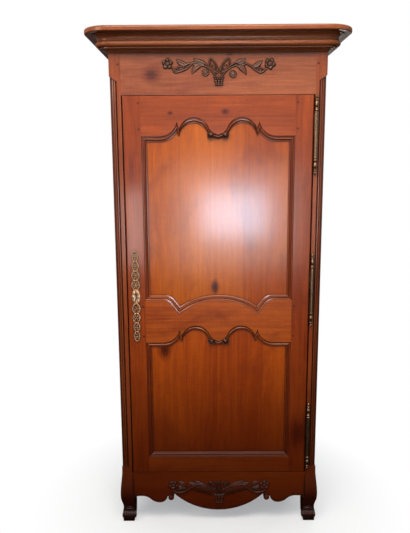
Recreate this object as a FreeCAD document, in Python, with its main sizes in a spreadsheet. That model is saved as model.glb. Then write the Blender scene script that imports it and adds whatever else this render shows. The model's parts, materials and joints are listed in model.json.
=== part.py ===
"""A single-door bonnetiere cabinet in cherry: arched panels, moulded cornice, shaped apron, scroll feet.

Frame: millimetres, +Z up, +X to the right as seen from the front, the front faces -Y. The origin lies on
the floor, under the middle of the overall box. Its frames are joined by pegged tenons, and its panels ride
in grooves.
"""

import FreeCAD, Part

import math
import os
import re
from types import SimpleNamespace

# Driving dimensions in millimetres: cell alias, value, what it measures.
SIZES = [
    ("total_height", 2050, "floor to the top of the cornice"),
    ("case_width", 836, "over the front stiles"),
    ("case_depth", 470, "front of the front stiles to the back of the back stiles"),
    ("cornice_height", 83, "the crown that sits on the case"),
    ("cornice_overhang", 88, "crown beyond the case at the front and the sides"),
    ("cornice_reach", 24, "how far the crown reaches in over the case"),
    ("cornice_corner", 8, "plan radius at the case's corner, from which the crown is turned"),
    ("cornice_rim", 20, "thickness of the crown's top member"),
    ("cornice_nose", 8, "upper round of the top member"),
    ("cornice_edge", 4, "lower round of the top member"),
    ("stile_width", 58, "front stile, seen from the front"),
    ("stile_depth", 62, "front stile, front to back"),
    ("back_stile", 46, "square back stile"),
    ("rebate_width", 14, "lip that the door closes against"),
    ("rail_depth", 42, "frieze rail and base rail, front to back"),
    ("frieze_height", 156, "frieze rail above the door opening"),
    ("base_top", 235, "floor to the bottom of the door opening"),
    ("stop_lip", 11, "lips of the frieze rail and the base rail behind the door"),
    ("door_thickness", 28, "door frame"),
    ("door_gap", 2, "clearance all round the door"),
    ("door_back_gap", 1, "clearance between the door and its stops"),
    ("door_stile_flat", 72, "door stile without its moulding"),
    ("door_round", 6, "round on the door's upright front edges"),
    ("moulding_width", 20, "moulding round the door panels"),
    ("moulding_bead", 3, "face of the door frame to the crest of the moulding's bead"),
    ("moulding_depth", 9, "face of the door frame to the inner edge of the moulding"),
    ("panel_recess", 12, "face of the door frame to the face of the panels"),
    ("panel_thickness", 8, "door panels"),
    ("panel_groove", 9, "depth of the door panels' grooves"),
    ("panel_slack", 0.2, "play of a panel in its groove"),
    ("door_top_rail", 153, "door's top edge to the flat part of the upper panel's top outline"),
    ("door_middle_rail", 180, "flat part of the middle rail, top to bottom"),
    ("door_bottom_rail", 70, "door's bottom edge to the lower panel"),
    ("rail_below_key", 105, "key's axis to the middle of the middle rail"),
    ("curve_share", 0.76, "start of the outlines' curves, as a share of the centre line to the door stile"),
    ("cusp_share", 0.54, "outer cusp, as a share of the same length"),
    ("cusp_rise", 55, "outer cusp above the flat part"),
    ("notch_step", 11, "outer cusp to the notch beside it"),
    ("notch_rise", 30, "notch above the flat part"),
    ("crest_share", 0.313, "crest of each small arch, as a share of the centre line to the door stile"),
    ("crest_rise", 72, "crest above the flat part"),
    ("arch_foot_out", 34, "centre line to the inner foot of each small arch"),
    ("arch_foot_rise", 28, "inner foot above the flat part"),
    ("shoulder_out", 20, "centre line to the shoulder between volute and link"),
    ("shoulder_rise", 13, "shoulder above the flat part"),
    ("link_rise", 5, "link between the volutes above the flat part"),
    ("volute_out", 28, "centre line to each volute"),
    ("volute_rise", 6, "volute above the flat part"),
    ("volute_radius", 12.5, "door volute"),
    ("dip_drop", 60, "cusps of the middle rail's top edge below its flat part"),
    ("dip_slope", 52, "slope in degrees at which that edge runs into its cusps"),
    ("tenon_thickness", 10, "all tenons"),
    ("front_tenon_set", 14, "face of the frieze rail and base rail to their tenons"),
    ("door_tenon", 45, "length of the door rails' tenons"),
    ("case_tenon", 28, "length of the front and side rails' tenons"),
    ("back_tenon", 20, "length of the back rails' tenons"),
    ("tenon_play", 0.2, "mortise beyond its tenon"),
    ("tenon_shoulder", 15, "rail edge to tenon edge"),
    ("peg_radius", 4, "oak pegs"),
    ("peg_play", 0.1, "peg hole beyond its peg"),
    ("peg_proud", 0.4, "peg end beyond the face"),
    ("peg_inset", 9, "joint line to peg"),
    ("peg_tail", 6, "peg beyond the tenon"),
    ("side_inset", 4, "side frame behind the stiles' outer faces"),
    ("side_thickness", 26, "side rails"),
    ("side_top_rail", 120, "side top rail height"),
    ("side_middle_rail", 100, "side middle rail height"),
    ("side_middle_level", 915, "centre of the side middle rail"),
    ("side_bottom_rail", 130, "side bottom rail height"),
    ("side_arch_rise", 34, "arch under the side bottom rail"),
    ("side_arch_inset", 20, "stile to the end of that arch"),
    ("side_tongue", 7, "side panels' tongues"),
    ("side_groove", 10, "side panels' grooves, and the back boards' grooves"),
    ("side_bevel", 34, "bevel round the side panels' fields"),
    ("side_field_rise", 5.5, "side panels' fields above their tongues"),
    ("side_field_gap", 2, "rail to the side panels' bevels"),
    ("back_rail_height", 110, "back rails"),
    ("back_rail_depth", 24, "back rails, front to back"),
    ("back_board", 10, "back boards' thickness"),
    ("back_board_count", 5, "boards in the back"),
    ("board_play", 0.3, "play of boards in their grooves and beside each other"),
    ("board_end_play", 1, "board and panel edges to the bottoms of their grooves"),
    ("shelf_thickness", 20, "shelves and floor board"),
    ("shelf_clearance", 1, "shelf edges to the case"),
    ("shelf_one", 610, "top of the lowest shelf"),
    ("shelf_two", 960, "top of the middle shelf"),
    ("shelf_three", 1390, "top of the highest shelf"),
    ("cleat_width", 22, "shelf cleats, side to side"),
    ("cleat_height", 24, "shelf cleats"),
    ("ceiling_thickness", 14, "board that closes the case above"),
    ("ceiling_drop", 24, "case top to the ceiling board"),
    ("ceiling_groove", 8, "grooves that hold the ceiling board and the floor board's front edge"),
    ("dust_thickness", 10, "board in the top of the crown"),
    ("dust_drop", 2, "crown's top to that board"),
    ("dust_ledge", 10, "ledge in the crown that carries the dust board"),
    ("apron_belly", 54, "floor to the lowest point of the apron"),
    ("apron_peak", 131, "floor to the peaks beside the belly"),
    ("apron_peak_share", 0.516, "peaks, as a share of the centre line to the front stile"),
    ("apron_volute_step", 15, "peak to the apron's volute"),
    ("apron_volute_height", 115, "floor to the apron's volutes"),
    ("apron_volute_radius", 12.5, "apron volute"),
    ("apron_low", 90, "floor to the low points outside the volutes"),
    ("apron_low_share", 0.687, "those low points, as a share of the centre line to the front stile"),
    ("apron_arch", 121, "floor to the arches beside the feet"),
    ("apron_arch_share", 0.896, "those arches, as a share of the centre line to the front stile"),
    ("apron_end", 118, "floor to the apron's ends"),
    ("apron_end_flat", 4, "level stretch at the apron's ends"),
    ("apron_bead", 9, "bead along the apron's edge"),
    ("apron_line", 2.5, "width of the line that sets off the bead"),
    ("apron_relief", 3, "depth of that line, and chamfer of the bead"),
    ("foot_height", 250, "floor to the top of the foot's shaping"),
    ("knee_height", 122, "floor to the middle of the knee"),
    ("knee_bulge", 9, "knee beyond the stile"),
    ("foot_taper", 12, "inner side of the foot, drawn in at the floor"),
    ("foot_notch", 11, "inner side of the foot, drawn in under the apron's end"),
    ("foot_scroll", 19, "radius of the foot's scroll"),
    ("foot_pad", 12, "pad under the scroll"),
    ("foot_back", 20, "back of the foot, drawn in at the floor"),
    ("corner_face", 29, "moulded corner on the stile's front"),
    ("corner_side", 20, "moulded corner on the stile's side"),
    ("corner_quirk", 3, "width of the moulded corner's quirks"),
    ("corner_depth", 8, "depth of those quirks"),
    ("corner_bead", 10, "width of the bead between the quirks"),
    ("corner_top_drop", 84, "case top to the start of the moulded corner"),
    ("corner_bottom", 262, "floor to the end of the moulded corner"),
    ("corner_slant", 20, "rise of the moulded corner's slanted end"),
    ("hinge_axis_inset", 39, "case side to the hinge axis"),
    ("hinge_radius", 7.5, "hinge barrel"),
    ("hinge_barrel", 176, "plain part of each hinge"),
    ("hinge_finial", 65, "turned end of each hinge"),
    ("hinge_leaf", 2, "leaf thickness"),
    ("hinge_leaf_depth", 27, "leaf behind the door's face"),
    ("hinge_leaf_seat", 1, "depth of the leaf's seat in the door's edge"),
    ("hinge_leaf_inset", 10, "barrel's end to the leaf's end"),
    ("hinge_pin", 3, "pin radius"),
    ("hinge_gap", 0.3, "between the two knuckles, and between barrel and wood"),
    ("hinge_seat_play", 0.1, "leaf in its seat"),
    ("pin_play", 0.05, "pin in the door's knuckle"),
    ("pin_reach", 60, "pin in each knuckle"),
    ("hinge_low", 165, "door's bottom edge to the middle of the lowest hinge"),
    ("hinge_middle", 25, "middle of the middle hinge above the key's axis"),
    ("hinge_high", 152, "middle of the highest hinge to the door's top edge"),
    ("keyhole_height", 1015, "floor to the key's axis"),
    ("keyhole_inset", 35, "door edge to the key's axis"),
    ("escutcheon_thickness", 1.5, "brass escutcheon"),
    ("escutcheon_width", 38, "cartouche, side to side"),
    ("escutcheon_cartouche", 64, "cartouche, top to bottom"),
    ("escutcheon_link", 42, "length of each scrolled link above and below the cartouche"),
    ("escutcheon_overlap", 3, "how far the links run into each other"),
    ("escutcheon_strip", 3.4, "width of the links' strips"),
    ("nail_head", 1.6, "radius of the escutcheon nails' heads"),
    ("nail_head_height", 0.8, "height of those heads"),
    ("nail_shank", 0.7, "radius of the escutcheon nails"),
    ("nail_length", 9, "length of the escutcheon nails"),
    ("lock_depth", 15, "lock case, front to back"),
    ("lock_height", 100, "lock case"),
    ("lock_wall", 1.6, "lock case's wall"),
    ("lock_left", 18, "key's axis to the lock case's outer end"),
    ("lock_right", 33, "key's axis to the lock case's inner end"),
    ("lock_flange", 8, "flanges above and below the lock case"),
    ("bolt_height", 24, "bolt"),
    ("bolt_thickness", 6, "bolt"),
    ("bolt_length", 44, "bolt"),
    ("bolt_rise", 26, "bolt's middle above the key's axis"),
    ("bolt_travel", 14, "how far the bolt shoots"),
    ("bolt_play", 0.3, "bolt in the lock case"),
    ("keeper_play", 1, "bolt in the keeper"),
    ("keeper_plate", 1.6, "keeper plate, let into the stile"),
    ("keeper_edge", 2, "keeper plate in front of and behind its hole"),
    ("keeper_margin", 14, "keeper plate above and below its hole"),
    ("key_radius", 2.6, "key shank"),
    ("key_play", 0.1, "key in the lock case's back"),
    ("keyhole_play", 0.6, "key in the door and the escutcheon"),
    ("key_bow", 11, "radius of the key's bow"),
    ("key_bow_wire", 2, "radius of the bow's wire"),
    ("key_reach", 22, "bow's middle in front of the door"),
    ("key_bit", 9, "bit below the shank"),
    ("key_bit_width", 6, "bit along the shank"),
    ("key_bit_thickness", 2, "bit, side to side"),
    ("screw_radius", 1.8, "lock and keeper screws"),
    ("screw_length", 9, "their length"),
]

doc = FreeCAD.newDocument("bonnetiere")
sheet = doc.addObject("Spreadsheet::Sheet", "sizes")
for row, (alias, value, meaning) in enumerate(SIZES, start=1):
    sheet.set(f"A{row}", str(value))
    sheet.setAlias(f"A{row}", alias)
    sheet.set(f"B{row}", meaning)
doc.recompute()

size = SimpleNamespace(**{alias: float(sheet.get(alias)) for alias, _, _ in SIZES})
WORD = re.compile(r"[a-z_]+")
X, Y, Z, DOWN = (1, 0, 0), (0, 1, 0), (0, 0, 1), (0, 0, -1)
PAST = 1  # how far a cutter runs past a face
pieces = []

# ---------------------------------------------------------------- places, as expressions of the cells

HALF = "case_width / 2"
FRONT = "(cornice_overhang - case_depth) / 2"
BACK = "(cornice_overhang + case_depth) / 2"
CASE_TOP = "(total_height - cornice_height)"
FRIEZE_BOTTOM = f"({CASE_TOP} - frieze_height)"
INNER = "(case_width / 2 - stile_width)"
OPENING = f"({INNER} + rebate_width)"
STOP = f"({FRONT} + door_thickness + door_back_gap)"
RAIL_BACK = f"({FRONT} + rail_depth)"
STILE_BACK = f"({FRONT} + stile_depth)"
BACK_STILE_FRONT = f"({BACK} - back_stile)"
BACK_STILE_INNER = "(case_width / 2 - back_stile)"
SIDE_OUT = "(case_width / 2 - side_inset)"
SIDE_IN = f"({SIDE_OUT} - side_thickness)"
SIDE_MIDDLE = f"({SIDE_OUT} - side_thickness / 2)"
DOOR_HALF = f"({OPENING} - door_gap)"
DOOR_FLAT = f"({DOOR_HALF} - door_stile_flat)"
DOOR_BOTTOM = "(base_top + door_gap)"
DOOR_TOP = f"({FRIEZE_BOTTOM} - door_gap)"
DOOR_BACK = f"({FRONT} + door_thickness)"
BACK_RAIL_FRONT = f"({BACK} - back_rail_depth)"
BACK_RAIL_MIDDLE = f"({BACK} - back_rail_depth / 2)"
FLOOR_TOP = "(base_top + stop_lip)"
HINGE_X = f"({HALF} - hinge_axis_inset)"
HINGE_Y = f"({FRONT} - hinge_radius - hinge_gap)"
KEY_X = f"(keyhole_inset - {DOOR_HALF})"
UPPER_TOP = f"({DOOR_TOP} - door_top_rail)"
UPPER_BOTTOM = "(keyhole_height - rail_below_key + door_middle_rail / 2)"
LOWER_TOP = "(keyhole_height - rail_below_key - door_middle_rail / 2)"
LOWER_BOTTOM = f"({DOOR_BOTTOM} + door_bottom_rail)"
LOCK_END = f"({KEY_X} - lock_left)"

# The same places as numbers, for the outlines.
at = SimpleNamespace()
at.half = size.case_width / 2
at.front = (size.cornice_overhang - size.case_depth) / 2
at.back = (size.cornice_overhang + size.case_depth) / 2
at.case_top = size.total_height - size.cornice_height
at.inner = at.half - size.stile_width
at.opening = at.inner + size.rebate_width
at.door_half = at.opening - size.door_gap
at.door_flat = at.door_half - size.door_stile_flat
at.door_bottom = size.base_top + size.door_gap
at.door_top = at.case_top - size.frieze_height - size.door_gap
at.key_x = size.keyhole_inset - at.door_half
at.rail_middle = size.keyhole_height - size.rail_below_key
at.upper_top = at.door_top - size.door_top_rail
at.upper_bottom = at.rail_middle + size.door_middle_rail / 2
at.lower_top = at.rail_middle - size.door_middle_rail / 2
at.lower_bottom = at.door_bottom + size.door_bottom_rail
at.curve_start = at.door_flat * size.curve_share
at.cusp_out = at.door_flat * size.cusp_share
at.notch_out = at.cusp_out - size.notch_step
at.crest_out = at.door_flat * size.crest_share
at.apron_peak_out = at.opening * size.apron_peak_share
at.apron_volute_out = at.apron_peak_out + size.apron_volute_step
at.hinge_bottom = at.door_bottom + size.hinge_low
at.hinge_middle = size.keyhole_height + size.hinge_middle
at.hinge_top = at.door_top - size.hinge_high


# ---------------------------------------------------------------- small helpers

def bind(thing, prop, words):
    """Ties a property to the cells named in an expression."""
    thing.setExpression(prop, WORD.sub(lambda m: "sizes." + m.group(), words))


def piece(node, thing):
    """Marks an object as a sub-part that is written to its own file."""
    thing.Label = node
    pieces.append(thing)


def box(name, x, y, z):
    """A box between the low and high expressions of each axis."""
    made = doc.addObject("Part::Box", name)
    for prop, axis, (low, high) in zip(("Length", "Width", "Height"), "xyz", (x, y, z)):
        bind(made, prop, f"({high}) - ({low})")
        bind(made, f"Placement.Base.{axis}", low)
    return made


def rod(name, radius, x, y, z, length, along):
    """A cylinder that starts at a place and runs along a direction."""
    made = doc.addObject("Part::Cylinder", name)
    bind(made, "Radius", radius)
    bind(made, "Height", length)
    for axis, words in zip("xyz", (x, y, z)):
        bind(made, f"Placement.Base.{axis}", words)
    made.Placement.Rotation = FreeCAD.Rotation(FreeCAD.Vector(*Z), FreeCAD.Vector(*along))
    return made


def fuse(name, things):
    made = doc.addObject("Part::MultiFuse", name)
    made.Shapes = things
    return made


def common(name, things):
    made = doc.addObject("Part::MultiCommon", name)
    made.Shapes = things
    return made


def cut(name, base, tools):
    made = doc.addObject("Part::Cut", name)
    made.Base = base
    made.Tool = tools[0] if len(tools) == 1 else fuse(name + "_tools", tools)
    return made


def group(name, things):
    """Several solids in one node."""
    made = doc.addObject("Part::Compound", name)
    made.Links = things
    return made


def shape(name, made):
    """A form from Part's own functions, as an object of the document."""
    thing = doc.addObject("Part::Feature", name)
    thing.Shape = made
    return thing


def extruded(name, face, length, along):
    """A face drawn out by a bound length."""
    made = doc.addObject("Part::Extrusion", name)
    made.Base = shape(name + "_section", face)
    made.DirMode = "Custom"
    made.Dir = FreeCAD.Vector(*along)
    made.Solid = True
    bind(made, "LengthFwd", length)
    return made


def turned(name, face, x, y, angle=360, axis=Z):
    """A face turned about a vertical axis."""
    made = doc.addObject("Part::Revolution", name)
    made.Source = shape(name + "_section", face)
    made.Axis = FreeCAD.Vector(*axis)
    made.Angle = angle
    made.Solid = True
    bind(made, "Base.x", x)
    bind(made, "Base.y", y)
    return made


def mirrored(name, thing):
    """The same object on the other side of the cabinet."""
    made = doc.addObject("Part::Mirroring", name)
    made.Source = thing
    made.Normal = FreeCAD.Vector(*X)
    return made


def grown(low, high, play):
    """A pair of expressions, let out by a play at both ends."""
    return (f"({low}) - ({play})", f"({high}) + ({play})")


def opposite(span):
    """A pair of x expressions on the other side of the cabinet."""
    low, high = span
    return (f"-({high})", f"-({low})")


def point(x, y, z):
    return FreeCAD.Vector(x, y, z)


def polygon_face(corners):
    return Part.Face(Part.makePolygon(corners + corners[:1]))


def edges_through(path, place):
    """Edges along a path of 2-D points, where a pair marks the middle of an arc and its end."""
    edges, here = [], path[0]
    for step in path[1:]:
        if isinstance(step[0], tuple):
            middle, there = step
            edges.append(Part.Arc(place(*here), place(*middle), place(*there)).toShape())
        else:
            there = step
            edges.append(Part.LineSegment(place(*here), place(*there)).toShape())
        here = there
    return edges


def path_face(path, place):
    return Part.Face(Part.Wire(edges_through(path, place)))


def rounding(centre, radius, middle, end):
    """An arc's middle and end, given by their directions from its centre in degrees."""
    places = []
    for direction in (middle, end):
        turn = math.radians(direction)
        places.append((centre[0] + radius * math.cos(turn), centre[1] + radius * math.sin(turn)))
    return tuple(places)


# ---------------------------------------------------------------- outlines of the door panels and the apron

def easing_point(start, end):
    """The middle of the arc that leaves start level and passes through end."""
    run, rise = end[0] - start[0], end[1] - start[1]
    radius = (run * run + rise * rise) / (2 * abs(rise))
    half_turn = math.atan2(abs(run), radius - abs(rise)) / 2
    return (
        start[0] + math.copysign(radius * math.sin(half_turn), run),
        start[1] + math.copysign(radius * (1 - math.cos(half_turn)), rise),
    )


def eased(start, end, slope):
    """Middle and end of an arc that leaves start level and turns into a straight run at a slope to end."""
    run, rise, turn = end[0] - start[0], end[1] - start[1], math.radians(slope)
    radius = (abs(run) * math.sin(turn) - abs(rise) * math.cos(turn)) / (1 - math.cos(turn))
    places = []
    for angle in (turn / 2, turn):
        out, fall = radius * math.sin(angle), radius * (1 - math.cos(angle))
        places.append((start[0] + math.copysign(out, run), start[1] + math.copysign(fall, rise)))
    return tuple(places)


def flipped(place):
    return (-place[0], place[1])


def panel_outline(top, bottom, cusped, inset):
    """Outline of a door panel, inset from the moulding's outer edge, which thins at the cusps and volutes."""
    side = at.door_flat - inset
    corner = (side, top - inset)
    start = (at.curve_start, top - inset)
    cusp = (at.cusp_out, top + size.cusp_rise - 1.9 * inset)
    notch = (at.notch_out + 0.1 * inset, top + size.notch_rise - 1.5 * inset)
    crest = (at.crest_out, top + size.crest_rise - inset)
    foot = (size.arch_foot_out + 0.6 * inset, top + size.arch_foot_rise - 0.3 * inset)
    shoulder = (size.shoulder_out + 0.1 * inset, top + size.shoulder_rise - 0.8 * inset)
    link = (0, top + size.link_rise - 0.8 * inset)
    rise = easing_point(start, cusp)
    over = [corner, start, (rise, cusp), notch, (crest, foot), shoulder, link, flipped(shoulder)]
    over += [flipped(foot), (flipped(crest), flipped(notch)), flipped(cusp), (flipped(rise), flipped(start))]
    over.append(flipped(corner))
    level = bottom + inset
    if not cusped:
        return over + [(-side, level), (side, level), corner]
    low = (side, level)
    turn = (at.curve_start - 0.4 * inset, level)
    dip = (at.cusp_out - 0.2 * inset, bottom - size.dip_drop + 1.6 * inset)
    bend, ramp = eased(turn, dip, size.dip_slope)
    under = [flipped(low), flipped(turn), (flipped(bend), flipped(ramp)), flipped(dip), ((0, level), dip)]
    return over + under + [ramp, (bend, turn), low, corner]


PANELS = {
    "upper": (at.upper_top, at.upper_bottom, True),
    "lower": (at.lower_top, at.lower_bottom, False),
}


def panel_wire(which, inset, depth):
    """A panel's outline at a depth behind the door's face."""
    path = panel_outline(*PANELS[which], inset)
    return Part.Wire(edges_through(path, lambda x, z: point(x, at.front + depth, z)))


def panel_slab(which, inset, low, high):
    return Part.Face(panel_wire(which, inset, low)).extrude(point(0, high - low, 0))


def panel_cutter(which):
    """What the moulding, the opening and the groove of a panel take from the door frame."""
    width, bead, depth = size.moulding_width, size.moulding_bead, size.moulding_depth
    section = [
        (0, -PAST),
        (0, depth * 0.45),
        (width * 0.3, depth * 0.6),
        (width * 0.4, bead * 1.25),
        (width * 0.55, bead),
        (width * 0.7, bead * 1.5),
        (width * 0.78, depth * 0.9),
        (width, depth),
        (width, size.door_thickness + PAST),
    ]
    opening = Part.makeLoft([panel_wire(which, inset, deep) for inset, deep in section], True, True)
    slack = size.panel_slack / 2
    low, high = size.panel_recess - slack, size.panel_recess + size.panel_thickness + slack
    return opening.fuse(panel_slab(which, width - size.panel_groove, low, high))


def apron_wire(inset, depth):
    """The base rail's outline, inset from its shaped lower edge."""
    edge = at.opening
    end = (edge, size.apron_end + inset)
    level = (edge - size.apron_end_flat, end[1])
    arch = (at.opening * size.apron_arch_share, size.apron_arch + inset)
    crown = (at.opening * size.apron_low_share, size.apron_low + inset)
    middle = ((arch[0] + crown[0]) / 2, (arch[1] + crown[1]) / 2)
    roll = size.apron_volute_radius
    volute = (at.apron_volute_out + roll * 1.25, size.apron_volute_height + roll * 0.3 + inset)
    peak = (at.apron_peak_out, size.apron_peak + inset)
    rise = easing_point(arch, level)
    fall = easing_point(arch, middle)
    swell = easing_point(crown, middle)
    tuck = easing_point(crown, volute)
    right = [end, level, (rise, arch), (fall, middle), (swell, crown), (tuck, volute), peak]
    belly = ((0, size.apron_belly + inset), flipped(peak))
    left = [flipped(volute), (flipped(tuck), flipped(crown)), (flipped(swell), flipped(middle))]
    left += [(flipped(fall), flipped(arch)), (flipped(rise), flipped(level)), flipped(end)]
    path = right + [belly] + left + [(-edge, size.base_top), (edge, size.base_top), end]
    return Part.Wire(edges_through(path, lambda x, z: point(x, at.front + depth, z)))


def apron_slab(inset, low, high):
    return Part.Face(apron_wire(inset, low)).extrude(point(0, high - low, 0))


# ----------------------------------------------------------- front stiles with their moulded corners and feet

def corner_cutter():
    """What a front stile's outer corner loses: a bead between two quirks, and a round, with stopped ends."""
    face, side, quirk, deep = size.corner_face, size.corner_side, size.corner_quirk, size.corner_depth
    low, high = size.corner_bottom, at.case_top - size.corner_top_drop
    bead_in = face - quirk
    bead_out = bead_in - size.corner_bead
    round_in = bead_out - quirk
    outline = [
        (face, -PAST),
        (face, deep),
        (bead_in, deep),
        (((bead_in + bead_out) / 2, deep / 3), (bead_out, deep)),
        (round_in, deep),
        ((round_in * 0.45, side * 0.6), (size.side_inset, side)),
        (-PAST, side),
        (-PAST, -PAST),
        (face, -PAST),
    ]
    section = path_face(outline, lambda across, back: point(across - at.half, at.front + back, low))
    column = section.extrude(point(0, 0, high - low))
    left, right = -at.half - 2 * PAST, face - at.half
    slope = high - size.corner_slant
    corners = [(left, high), (right, slope), (right, high + PAST), (left, high + PAST)]
    wedge = polygon_face([point(x, at.front - 2 * PAST, z) for x, z in corners])
    return column.cut(wedge.extrude(point(0, side + 4 * PAST, 0)))


def curve(places):
    """A smooth curve that leaves its first place and reaches its last one straight downwards."""
    down = FreeCAD.Vector(*DOWN)
    made = Part.BSplineCurve()
    made.interpolate(Points=places, InitialTangent=down, FinalTangent=down)
    return made.toShape()


def foot_form():
    """A scroll foot, shaped from the stile from the front and from the side, with its scroll and its pad."""
    top, pad, roll, knee = size.foot_height, size.foot_pad, size.foot_scroll, size.knee_bulge
    out, inn, face = -at.half, -at.inner, at.front
    back = face + size.stile_depth
    ahead, start = face - 4 * knee, out - 2 * knee
    end, notch, taper, draw_in = size.apron_end, size.foot_notch, size.foot_taper, size.foot_back
    knee_z, ankle_z, ball_z = size.knee_height, size.knee_height * 0.52, pad + roll * 1.4
    foot_out, foot_in = out - knee * 0.2, inn - taper
    outer = [(out, top), (out - knee * 0.6, (top + knee_z) / 2), (out - knee, knee_z)]
    outer += [(out - knee * 0.85, end * 0.87), (out, ankle_z), (out - knee * 0.45, ball_z), (foot_out, pad)]
    inner = [(inn, end), (inn - notch * 0.75, end - notch * 0.3), (inn - notch, end - notch)]
    inner += [(inn - notch * 0.6, end * 0.76), (inn - notch * 0.4, end * 0.63), (inn - notch * 0.65, ball_z)]
    inner.append((foot_in, pad))
    lid = Part.LineSegment(point(out, ahead, top), point(inn, ahead, top)).toShape()
    sole_line = ((foot_in, pad), (foot_in, 0), (foot_out, 0), (foot_out, pad))
    sole = Part.makePolygon([point(x, ahead, z) for x, z in sole_line])
    right = curve([point(x, ahead, z) for x, z in inner])
    left = curve([point(x, ahead, z) for x, z in outer])
    flank = Part.LineSegment(point(inn, ahead, top), point(inn, ahead, end)).toShape()
    outline = Part.Wire([lid, flank, right] + sole.Edges + [left])
    front_view = Part.Face(outline).extrude(point(0, back - ahead + PAST, 0))
    shin, heel = face + knee * 0.9, back - draw_in
    fore = curve([point(start, y, z) for y, z in ((face, top), (face - knee * 0.7, knee_z), (shin, ankle_z))])
    aft_line = ((back, end), (heel + draw_in / 5, ankle_z * 0.8), (heel, pad))
    aft = curve([point(start, y, z) for y, z in aft_line])
    under = [(shin, ankle_z), (face + knee / 2, pad), (face + knee / 2, 0), (heel, 0), (heel, pad)]
    over = [(back, size.apron_end), (back, top), (face, top)]
    low_edges = Part.makePolygon([point(start, y, z) for y, z in under]).Edges
    high_edges = Part.makePolygon([point(start, y, z) for y, z in over]).Edges
    across = point(size.stile_width + 4 * knee, 0, 0)
    side_view = Part.Face(Part.Wire([fore] + low_edges + [aft] + high_edges)).extrude(across)
    scroll = Part.makeCylinder(roll, across.x, point(start, face + roll * 0.7, pad + roll), point(*X))
    return front_view.common(side_view.fuse(scroll))


def front_stiles():
    blank = box("stile_blank", (f"-{HALF}", f"-{INNER}"), (FRONT, STILE_BACK), ("foot_height", CASE_TOP))
    whole = fuse("stile_whole", [blank, shape("foot", foot_form())])
    fore = (f"{FRONT} - stile_depth", STOP)
    rebate = box("stile_rebate", (f"-{OPENING}", f"-{INNER} + 1"), fore, ("apron_end", f"{CASE_TOP} + 1"))
    moulded = cut("stile_moulded", whole, [rebate, shape("corner_cutter", corner_cutter())])
    joints = front_mortises() + front_holes("left") + side_holes()
    piece("front_stile_left", cut("front_stile_left", moulded, joints + keeper_seat()))
    other = mirrored("stile_mirrored", moulded)
    tools = [mirrored(f"{tool.Name}_mirrored", tool) for tool in joints]
    piece("front_stile_right", cut("front_stile_right", other, tools + hinge_slots()))


# ------------------------------------------------------------- joints of the case: mortises, grooves and pegs

BASE_TENON = ("apron_arch + 2 * apron_bead", "base_top - tenon_shoulder")
FRIEZE_TENON = (f"{FRIEZE_BOTTOM} + tenon_shoulder", f"{CASE_TOP} - 2 * tenon_shoulder")
FRONT_TENON_Y = (f"{FRONT} + front_tenon_set", f"{FRONT} + front_tenon_set + tenon_thickness")
SIDE_TENON_X = (f"-{SIDE_MIDDLE} - tenon_thickness / 2", f"-{SIDE_MIDDLE} + tenon_thickness / 2")
SIDE_TONGUE_X = (f"-{SIDE_MIDDLE} - side_tongue / 2", f"-{SIDE_MIDDLE} + side_tongue / 2")
SIDE_SLOT_X = grown(*SIDE_TONGUE_X, "panel_slack / 2")
SIDE_RAILS = {
    "top": (f"{CASE_TOP} - side_top_rail", CASE_TOP),
    "middle": ("side_middle_level - side_middle_rail / 2", "side_middle_level + side_middle_rail / 2"),
    "bottom": ("base_top - side_bottom_rail", "base_top"),
}
SIDE_PANEL_Z = (f"{SIDE_RAILS['bottom'][1]} - side_groove", f"{SIDE_RAILS['top'][0]} + side_groove")
BACK_RAILS = {
    "back_top_rail": (f"{CASE_TOP} - back_rail_height", CASE_TOP),
    "back_bottom_rail": ("base_top - back_rail_height", "base_top"),
}
BACK_TENON_Y = (f"{BACK_RAIL_MIDDLE} - tenon_thickness / 2", f"{BACK_RAIL_MIDDLE} + tenon_thickness / 2")
BOARD_Y = (f"{BACK_RAIL_MIDDLE} - back_board / 2", f"{BACK_RAIL_MIDDLE} + back_board / 2")
BOARD_SLOT_Y = grown(*BOARD_Y, "board_play / 2")
BOARD_Z = ("base_top - side_groove", f"{CASE_TOP} - back_rail_height + side_groove")
PEG_DEPTH = "(front_tenon_set + tenon_thickness + peg_tail)"
SIDE_PEG_DEPTH = "(side_inset + side_thickness / 2 + tenon_thickness / 2 + peg_tail)"


def tenon_height(low, high):
    """A side or back rail's tenon, with a deeper shoulder above it where the stile ends."""
    above = "2 * tenon_shoulder" if high == CASE_TOP else "tenon_shoulder"
    return (f"{low} + tenon_shoulder", f"{high} - {above}")


def front_mortises():
    """Mortises and the panel groove of the left front stile."""
    reach = (f"-{OPENING} - case_tenon - tenon_play", f"-{OPENING} + 1")
    depth = grown(*FRONT_TENON_Y, "tenon_play")
    made = [
        box("mortise_base", reach, depth, grown(*BASE_TENON, "tenon_play")),
        box("mortise_frieze", reach, depth, grown(*FRIEZE_TENON, "tenon_play")),
        box("groove_fore", SIDE_SLOT_X, (f"{STILE_BACK} - side_groove", f"{STILE_BACK} + 1"), SIDE_PANEL_Z),
    ]
    width = grown(*SIDE_TENON_X, "tenon_play")
    y = (f"{STILE_BACK} - case_tenon - tenon_play", f"{STILE_BACK} + 1")
    for which, span in SIDE_RAILS.items():
        made.append(box(f"mortise_fore_{which}", width, y, grown(*tenon_height(*span), "tenon_play")))
    return made


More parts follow.
